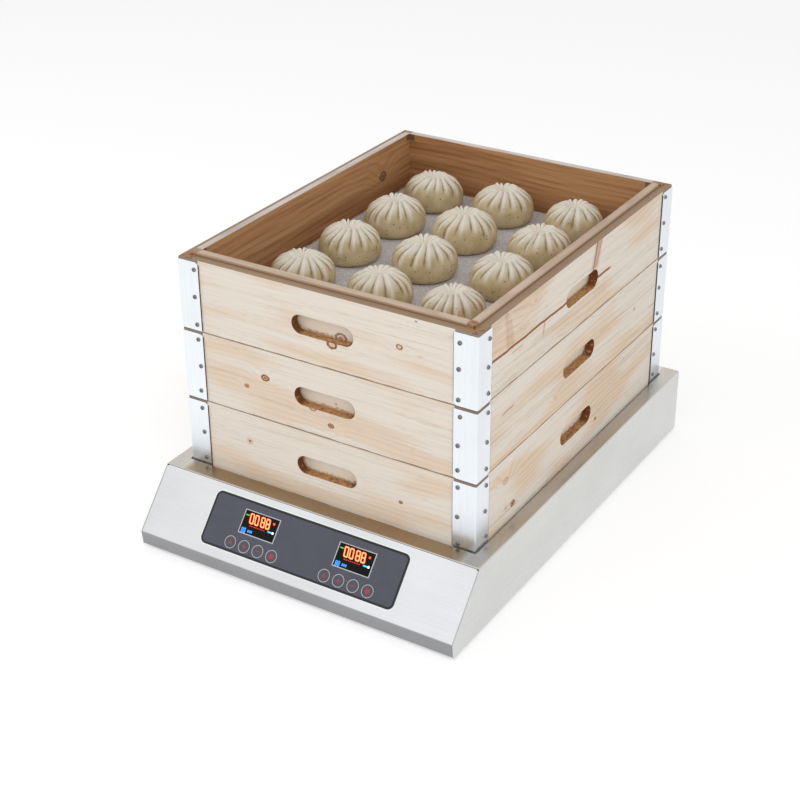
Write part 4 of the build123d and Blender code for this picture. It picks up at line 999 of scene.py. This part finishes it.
class Print:
    """Flat shapes printed on the sloping panel, in one mesh with a material for each colour."""

    def __init__(self, name, out):
        self.name = name
        self.out = out
        self.bm = bmesh.new()
        self.materials = []

    def inked(self, face, material, line):
        """Gives a face its colour, or only a line of some width along its edge."""
        if material not in self.materials:
            self.materials.append(material)
        faces = [face]
        if line:
            options = {"thickness": line, "use_boundary": True, "use_even_offset": True}
            faces = bmesh.ops.inset_region(self.bm, faces=faces, **options)["faces"]
            bmesh.ops.delete(self.bm, geom=[face], context="FACES")
        for part in faces:
            part.material_index = self.materials.index(material)

    def bar(self, place, wide, tall, material, corner=0.0, steps=1, line=0.0):
        """A rectangle with cut or rounded corners."""
        sized = place @ Matrix.Diagonal((wide, tall, 1.0, 1.0))
        verts = bmesh.ops.create_grid(self.bm, x_segments=1, y_segments=1, size=0.5, matrix=sized)["verts"]
        face = verts[0].link_faces[0]
        if corner:
            options = {"affect": "VERTICES", "segments": steps, "profile": 0.5, "material": -1}
            bmesh.ops.bevel(self.bm, geom=verts, offset=corner, offset_type="OFFSET", **options)
            self.bm.faces.ensure_lookup_table()
            face = self.bm.faces[-1]
        self.inked(face, material, line)

    def disc(self, place, radius, material, line=0.0, segments=40):
        """A round spot, or a ring."""
        made = bmesh.ops.create_circle(self.bm, cap_ends=True, radius=radius, segments=segments, matrix=place)
        self.inked(made["verts"][0].link_faces[0], material, line)

    def at(self, x, down, lift=0.0):
        """A place for a shape, lifted a little where it lies on another."""
        return on_slope(x, down, self.out + lift)

    def done(self, body, slot):
        """The finished piece."""
        bmesh.ops.scale(self.bm, vec=(MM, MM, MM), verts=self.bm.verts)
        return place(self.name, self.bm, body, slot, self.materials)


# Strokes of a digit: middle across and up in its own box from 0 to 1, and whether the stroke is upright
STROKES = {
    "a": (0.5, 1.0, False),
    "b": (1.0, 0.75, True),
    "c": (1.0, 0.25, True),
    "d": (0.5, 0.0, False),
    "e": (0.0, 0.25, True),
    "f": (0.0, 0.75, True),
    "g": (0.5, 0.5, False),
}
DIGITS = {"0": "abcdef", "8": "abcdefg"}


def lit_digit(sheet, text, foot, wide, tall, stroke, material, lean=0.0):
    """A lit digit on a foot, which is the place of its lower left corner. Its top leans across."""
    shear = Matrix(((1, lean, 0, 0), (0, 1, 0, 0), (0, 0, 1, 0), (0, 0, 0, 1)))
    for name in DIGITS[text]:
        across, up, upright = STROKES[name]
        turn = Matrix.Rotation(math.pi / 2 if upright else 0.0, 4, "Z")
        long = (tall / 2 if upright else wide) + 0.35 * stroke
        middle = foot @ shear @ Matrix.Translation((across * wide, up * tall, 0.0)) @ turn
        sheet.bar(middle, long, stroke, material, 0.42 * stroke)


def build_display(name, x, lit):
    """The lit marks of one display."""
    sheet = Print(name, LENS_PRINT)
    down = DISPLAY_DOWN
    for text, dx in zip("0088", (-14.4, -7.2, 1.6, 8.9)):
        lit_digit(sheet, text, sheet.at(x + dx, down + 0.3), 4.6, 11.0, 2.3, lit["digit"], -0.16)
        lit_digit(sheet, text, sheet.at(x + dx, down + 0.3, 0.02), 4.6, 11.0, 0.8, lit["core"], -0.16)
    sheet.bar(sheet.at(x + 18.3, down - 7.7), 2.8, 2.8, lit["digit"], 0.7, 3)
    sheet.bar(sheet.at(x - 20.3, down - 8.1), 5.0, 1.6, lit["green"], 0.5, 2)
    for i in range(8):
        sheet.bar(sheet.at(x - 12.2 + i * 2.9, down + 3.6), 1.9, 0.9, lit["red"])
    for dx in (-21.6, -18.3):
        lit_digit(sheet, "8", sheet.at(x + dx, down + 13.2), 1.9, 5.4, 1.1, lit["blue"])
    for i in range(3):
        sheet.bar(sheet.at(x - 12.3 + i * 2.4, down + 10.2), 1.8, 3.0, lit["blue"], 0.4, 2)
    sheet.bar(sheet.at(x + 16.0, down + 3.2), 5.4, 1.8, lit["cyan"], 0.5, 2)
    sheet.bar(sheet.at(x + 20.6, down + 3.1), 3.0, 2.8, lit["white"], 0.9, 3)
    return sheet.done("base", "display_window")


def build_panel():
    """Printed film, lines, display frames, lenses and lit marks."""
    p = bpy.context.scene.steamer_panel
    film = plain("overlay_film", tuple(p.film), 0.42, Specular_IOR_Level=0.4)
    border = plain("panel_border", tuple(p.border), 0.4)
    white = tuple(p.outline)
    # The outline round the film glows faintly: painted light
    outline = plain("panel_outline", white, 0.4, Emission_Color=white, Emission_Strength=0.15)
    bezel = plain("bezel_metal", linear("#C9C9CD"), 0.3, 1.0)
    lens = plain("display_window", linear("#0B0B0D"), 0.35, Specular_IOR_Level=0.15)
    dressed("control_overlay", "base", "overlay_film", film, 0.1, 1)
    dressed("display_bezels", "base", "bezel_metal", bezel, 0.15, 1)
    paint("display_lenses", lens)
    wide = 2 * box_mm("control_overlay")[1].x
    middle = PANEL_TOP + PANEL_LENGTH / 2
    lines = Print("panel_lines", FILM_PRINT)
    lines.bar(lines.at(0, middle), wide - 0.6, PANEL_LENGTH - 0.6, border, 7.7, 8, 2.4)
    lines.done("base", "overlay_film")
    edge = Print("panel_outline", SLOPE_PRINT)
    edge.bar(edge.at(0, middle), wide + 3.0, PANEL_LENGTH + 3.0, outline, 9.5, 8, 1.6)
    edge.done("base", "overlay_film")
    lit = {
        "digit": glow("lit_digit", tuple(p.digit), 1.0),
        "core": glow("lit_core", tuple(p.core), 1.3),
        "red": glow("lit_red", linear("#D8341E"), 0.7),
        "blue": glow("lit_blue", linear("#3A8EE6"), 0.9),
        "cyan": glow("lit_cyan", linear("#4FC4E8"), 0.8),
        "green": glow("lit_green", linear("#5FA83C"), 0.6),
        "white": glow("lit_white", linear("#E4EEF2"), 0.9),
    }
    for side, x in DISPLAYS.items():
        build_display(f"display_{side}_lit", x, lit)


def key_symbol(sheet, number, x, red):
    """The symbol on a key: a triangle, a plus, a minus or a dot."""
    if number == 1:
        sheet.disc(sheet.at(x, KEY_DOWN), 3.3, red, 0.8, 3)
    elif number == 2:
        sheet.bar(sheet.at(x, KEY_DOWN), 5.4, 1.1, red)
        for up in (-1.63, 1.63):
            sheet.bar(sheet.at(x, KEY_DOWN + up), 1.1, 2.15, red)
    elif number == 3:
        sheet.bar(sheet.at(x, KEY_DOWN), 5.0, 1.0, red)
    else:
        sheet.disc(sheet.at(x, KEY_DOWN), 3.0, red)


def build_keys():
    """Key caps with their rings and symbols."""
    p = bpy.context.scene.steamer_panel
    cap = plain("key_cap", tuple(p.film), 0.36, Specular_IOR_Level=0.4)
    ring = plain("key_ring", tuple(p.ring), 0.4)
    # The key symbols glow faintly: painted light
    red = plain("key_symbol", tuple(p.symbol), 0.4, Emission_Color=tuple(p.symbol), Emission_Strength=0.25)
    for side, middle in DISPLAYS.items():
        for number in (1, 2, 3, 4):
            key = f"key_{side}_{number}"
            x = middle + (number - 2.5) * KEY_PITCH
            dressed(key, f"{key}_cap", "key_plastic", cap, 0.0)
            marks = Print(f"{key}_marks", CAP_PRINT)
            marks.disc(marks.at(x, KEY_DOWN), 8.0, ring, 1.0)
            key_symbol(marks, number, x, red)
            marks.done(f"{key}_cap", "key_plastic")


def build_rear():
    """Drain valve and cable gland."""
    steel = bpy.data.materials["screw_steel"]
    nickel = plain("valve_metal", linear("#C9C7C0"), 0.22, 1.0)
    black = plain("dark_plastic", linear("#1B1B1D"), 0.5)
    red = plain("lever_coat", linear("#B3201A"), 0.4)
    tank = brushed("tank_steel", linear("#C2C3C5"), "x", 0.35)
    dressed("drain_pipe", "base", "tank_steel", tank, 0.0)
    dressed("drain_valve_body", "base", "valve_metal", nickel, 0.3)
    dressed("drain_lever", "drain_handle", "lever_coat", red, 0.0)
    dressed("drain_ball", "drain_handle", "valve_metal", nickel, 0.0)
    dressed("lever_nut", "drain_handle", "screw_steel", steel, 0.2)
    dressed("gland_body", "base", "dark_plastic", black, 0.3)
    dressed("gland_nuts", "base", "dark_plastic", black, 0.3)


def build_inner():
    """Materials of the parts inside the base."""
    black = bpy.data.materials["dark_plastic"]
    tank = bpy.data.materials["tank_steel"]
    brass = plain("fitting_brass", linear("#C8A860"), 0.3, 1.0)
    sheath = plain("element_sheath", linear("#6A6764"), 0.4, 1.0)
    board = plain("circuit_board", linear("#1F6B3A"), 0.45)
    cream = plain("pale_plastic", linear("#E6E0CE"), 0.5)
    float_white = plain("float_plastic", linear("#ECECE6"), 0.5)
    wire = plain("wire_sheath", linear("#2A2A2C"), 0.6)
    looks = {
        tank: ("water_tank", "element_rests", "float_stem", "temperature_probes"),
        sheath: ("heating_elements",),
        brass: ("element_fittings", "board_standoffs"),
        black: ("thermostats", "display_modules", "tact_switches", "power_relays"),
        board: ("control_boards",),
        cream: ("terminal_block",),
        float_white: ("water_float",),
        wire: ("wiring",),
    }
    for material, nodes in looks.items():
        for node in nodes:
            paint(node, material)


# Stage

# The point that the camera looks at in millimetres, the one that the lamps are aimed at, and half the floor
LOOK_AT = Vector((-54.71, 0.0, 96.24))
LIT_POINT = Vector((0.0, 0.0, 0.2))
FLOOR_HALF = 6.0


def area_lamp(name, location, size, power):
    """A square area lamp aimed at the object, which metal doesn't mirror."""
    data = bpy.data.lights.new(name, "AREA")
    data.size = size
    data.energy = power
    lamp = bpy.data.objects.new(name, data)
    bpy.context.scene.collection.objects.link(lamp)
    lamp.location = location
    lamp.rotation_euler = (LIT_POINT - Vector(location)).to_track_quat("-Z", "Y").to_euler()
    lamp.visible_glossy = False


def seen_directly(tree):
    """1 for rays from the camera, off metal or through glass, and 0 for the light on the object."""
    path = tree.nodes.new("ShaderNodeLightPath")
    value = path.outputs["Is Camera Ray"]
    for name in ("Is Glossy Ray", "Is Transmission Ray"):
        node = tree.nodes.new("ShaderNodeMath")
        node.operation = "MAXIMUM"
        tree.links.new(value, node.inputs[0])
        tree.links.new(path.outputs[name], node.inputs[1])
        value = node.outputs[0]
    return value


def build_world(strength):
    """An even world that shows white behind the object."""
    world = bpy.data.worlds.new("studio")
    world.use_nodes = True
    bpy.context.scene.world = world
    tree = world.node_tree
    tree.nodes.clear()
    light = tree.nodes.new("ShaderNodeBackground")
    light.inputs["Strength"].default_value = strength
    shown = tree.nodes.new("ShaderNodeBackground")
    shown.inputs["Strength"].default_value = 1.0
    for node in (light, shown):
        node.inputs["Color"].default_value = (1.0, 1.0, 1.0, 1.0)
    blend = tree.nodes.new("ShaderNodeMixShader")
    output = tree.nodes.new("ShaderNodeOutputWorld")
    tree.links.new(seen_directly(tree), blend.inputs[0])
    tree.links.new(light.outputs[0], blend.inputs[1])
    tree.links.new(shown.outputs[0], blend.inputs[2])
    tree.links.new(blend.outputs[0], output.inputs["Surface"])


def build_floor():
    """A large white floor that keeps the object's shadow."""
    bm = bmesh.new()
    bmesh.ops.create_grid(bm, x_segments=1, y_segments=1, size=FLOOR_HALF)
    mesh = bpy.data.meshes.new("floor")
    bm.to_mesh(mesh)
    bm.free()
    floor = bpy.data.objects.new("floor", mesh)
    bpy.context.scene.collection.objects.link(floor)
    s = Shade("floor")
    white = s.product(seen_directly(s.tree), 0.34)
    values = {"Specular_IOR_Level": 0.0, "Emission_Color": (1, 1, 1), "Emission_Strength": white}
    mesh.materials.append(s.finish((0.86, 0.86, 0.86), 0.9, **values))


def build_camera():
    """The camera at the photograph's viewing angle."""
    g = bpy.context.scene.steamer_stage
    flat = math.cos(g.elevation)
    back = Vector((math.sin(g.azimuth) * flat, -math.cos(g.azimuth) * flat, math.sin(g.elevation)))
    right = (-back).cross(Vector((0, 0, 1))).normalized()
    up = right.cross(-back)
    turned_right = right * math.cos(g.roll) + up * math.sin(g.roll)
    turned_up = up * math.cos(g.roll) - right * math.sin(g.roll)
    data = bpy.data.cameras.new("camera")
    data.lens = g.lens
    data.sensor_width = 36.0
    data.clip_start = 0.1
    data.clip_end = 50.0
    camera = bpy.data.objects.new("camera", data)
    bpy.context.scene.collection.objects.link(camera)
    matrix = Matrix((turned_right, turned_up, back)).transposed().to_4x4()
    matrix.translation = LOOK_AT * MM + back * g.distance
    camera.matrix_world = matrix
    bpy.context.scene.camera = camera


def build_stage():
    """Floor, world, lamps and camera."""
    g = bpy.context.scene.steamer_stage
    build_world(g.ambient)
    build_floor()
    area_lamp("key", (1.6, -1.6, 2.4), 1.6, g.key)
    area_lamp("fill", (-2.0, -1.4, 1.6), 1.6, g.fill)
    build_camera()
    bpy.context.scene.view_settings.view_transform = "Standard"


# Add-on


class STEAMER_OT_trays(bpy.types.Operator):
    """Builds boards, corner angles, screws and floors of the trays"""

    bl_idname = "steamer.trays"
    bl_label = "Build trays"

    def execute(self, context):
        build_trays()
        return {"FINISHED"}


class STEAMER_OT_cloths(bpy.types.Operator):
    """Builds the cloth in each tray"""

    bl_idname = "steamer.cloths"
    bl_label = "Build cloths"

    def execute(self, context):
        build_cloths()
        return {"FINISHED"}


class STEAMER_OT_buns(bpy.types.Operator):
    """Builds the pleated buns in the top tray"""

    bl_idname = "steamer.buns"
    bl_label = "Build buns"

    def execute(self, context):
        build_buns()
        return {"FINISHED"}


class STEAMER_OT_base(bpy.types.Operator):
    """Builds the shell, fascia, bottom plate and feet"""

    bl_idname = "steamer.base"
    bl_label = "Build base"

    def execute(self, context):
        build_base()
        return {"FINISHED"}


class STEAMER_OT_panel(bpy.types.Operator):
    """Builds the film, the displays and the printed lines"""

    bl_idname = "steamer.panel"
    bl_label = "Build control panel"

    def execute(self, context):
        build_panel()
        return {"FINISHED"}


class STEAMER_OT_keys(bpy.types.Operator):
    """Builds the key caps with their rings and symbols"""

    bl_idname = "steamer.keys"
    bl_label = "Build keys"

    def execute(self, context):
        build_keys()
        return {"FINISHED"}


class STEAMER_OT_rear(bpy.types.Operator):
    """Builds the drain valve and the cable gland"""

    bl_idname = "steamer.rear"
    bl_label = "Build rear fittings"

    def execute(self, context):
        build_rear()
        return {"FINISHED"}


class STEAMER_OT_inner(bpy.types.Operator):
    """Gives the parts inside the base their materials"""

    bl_idname = "steamer.inner"
    bl_label = "Build inner parts"

    def execute(self, context):
        build_inner()
        return {"FINISHED"}


class STEAMER_OT_stage(bpy.types.Operator):
    """Builds the floor, the world, the lamps and the camera"""

    bl_idname = "steamer.stage"
    bl_label = "Build stage"

    def execute(self, context):
        build_stage()
        return {"FINISHED"}


STEPS = (
    STEAMER_OT_trays,
    STEAMER_OT_cloths,
    STEAMER_OT_buns,
    STEAMER_OT_base,
    STEAMER_OT_panel,
    STEAMER_OT_keys,
    STEAMER_OT_rear,
    STEAMER_OT_inner,
    STEAMER_OT_stage,
)


class STEAMER_PT_panel(bpy.types.Panel):
    """Lists the steamer's build steps"""

    bl_label = "Steamer"
    bl_idname = "STEAMER_PT_panel"
    bl_space_type = "VIEW_3D"
    bl_region_type = "UI"
    bl_category = "Steamer"

    def draw(self, context):
        for step in STEPS:
            self.layout.operator(step.bl_idname)


def register():
    """Registers the properties, the operators and the panel."""
    for name, group in GROUPS.items():
        bpy.utils.register_class(group)
        setattr(bpy.types.Scene, name, PointerProperty(type=group))
    for item in (*STEPS, STEAMER_PT_panel):
        bpy.utils.register_class(item)


def unregister():
    """Removes what register added."""
    for item in (STEAMER_PT_panel, *reversed(STEPS)):
        bpy.utils.unregister_class(item)
    for name, group in GROUPS.items():
        delattr(bpy.types.Scene, name)
        bpy.utils.unregister_class(group)


def main():
    """Runs every build step."""
    register()
    bpy.ops.steamer.trays()
    bpy.ops.steamer.cloths()
    bpy.ops.steamer.buns()
    bpy.ops.steamer.base()
    bpy.ops.steamer.panel()
    bpy.ops.steamer.keys()
    bpy.ops.steamer.rear()
    bpy.ops.steamer.inner()
    bpy.ops.steamer.stage()


if __name__ == "__main__":
    main()
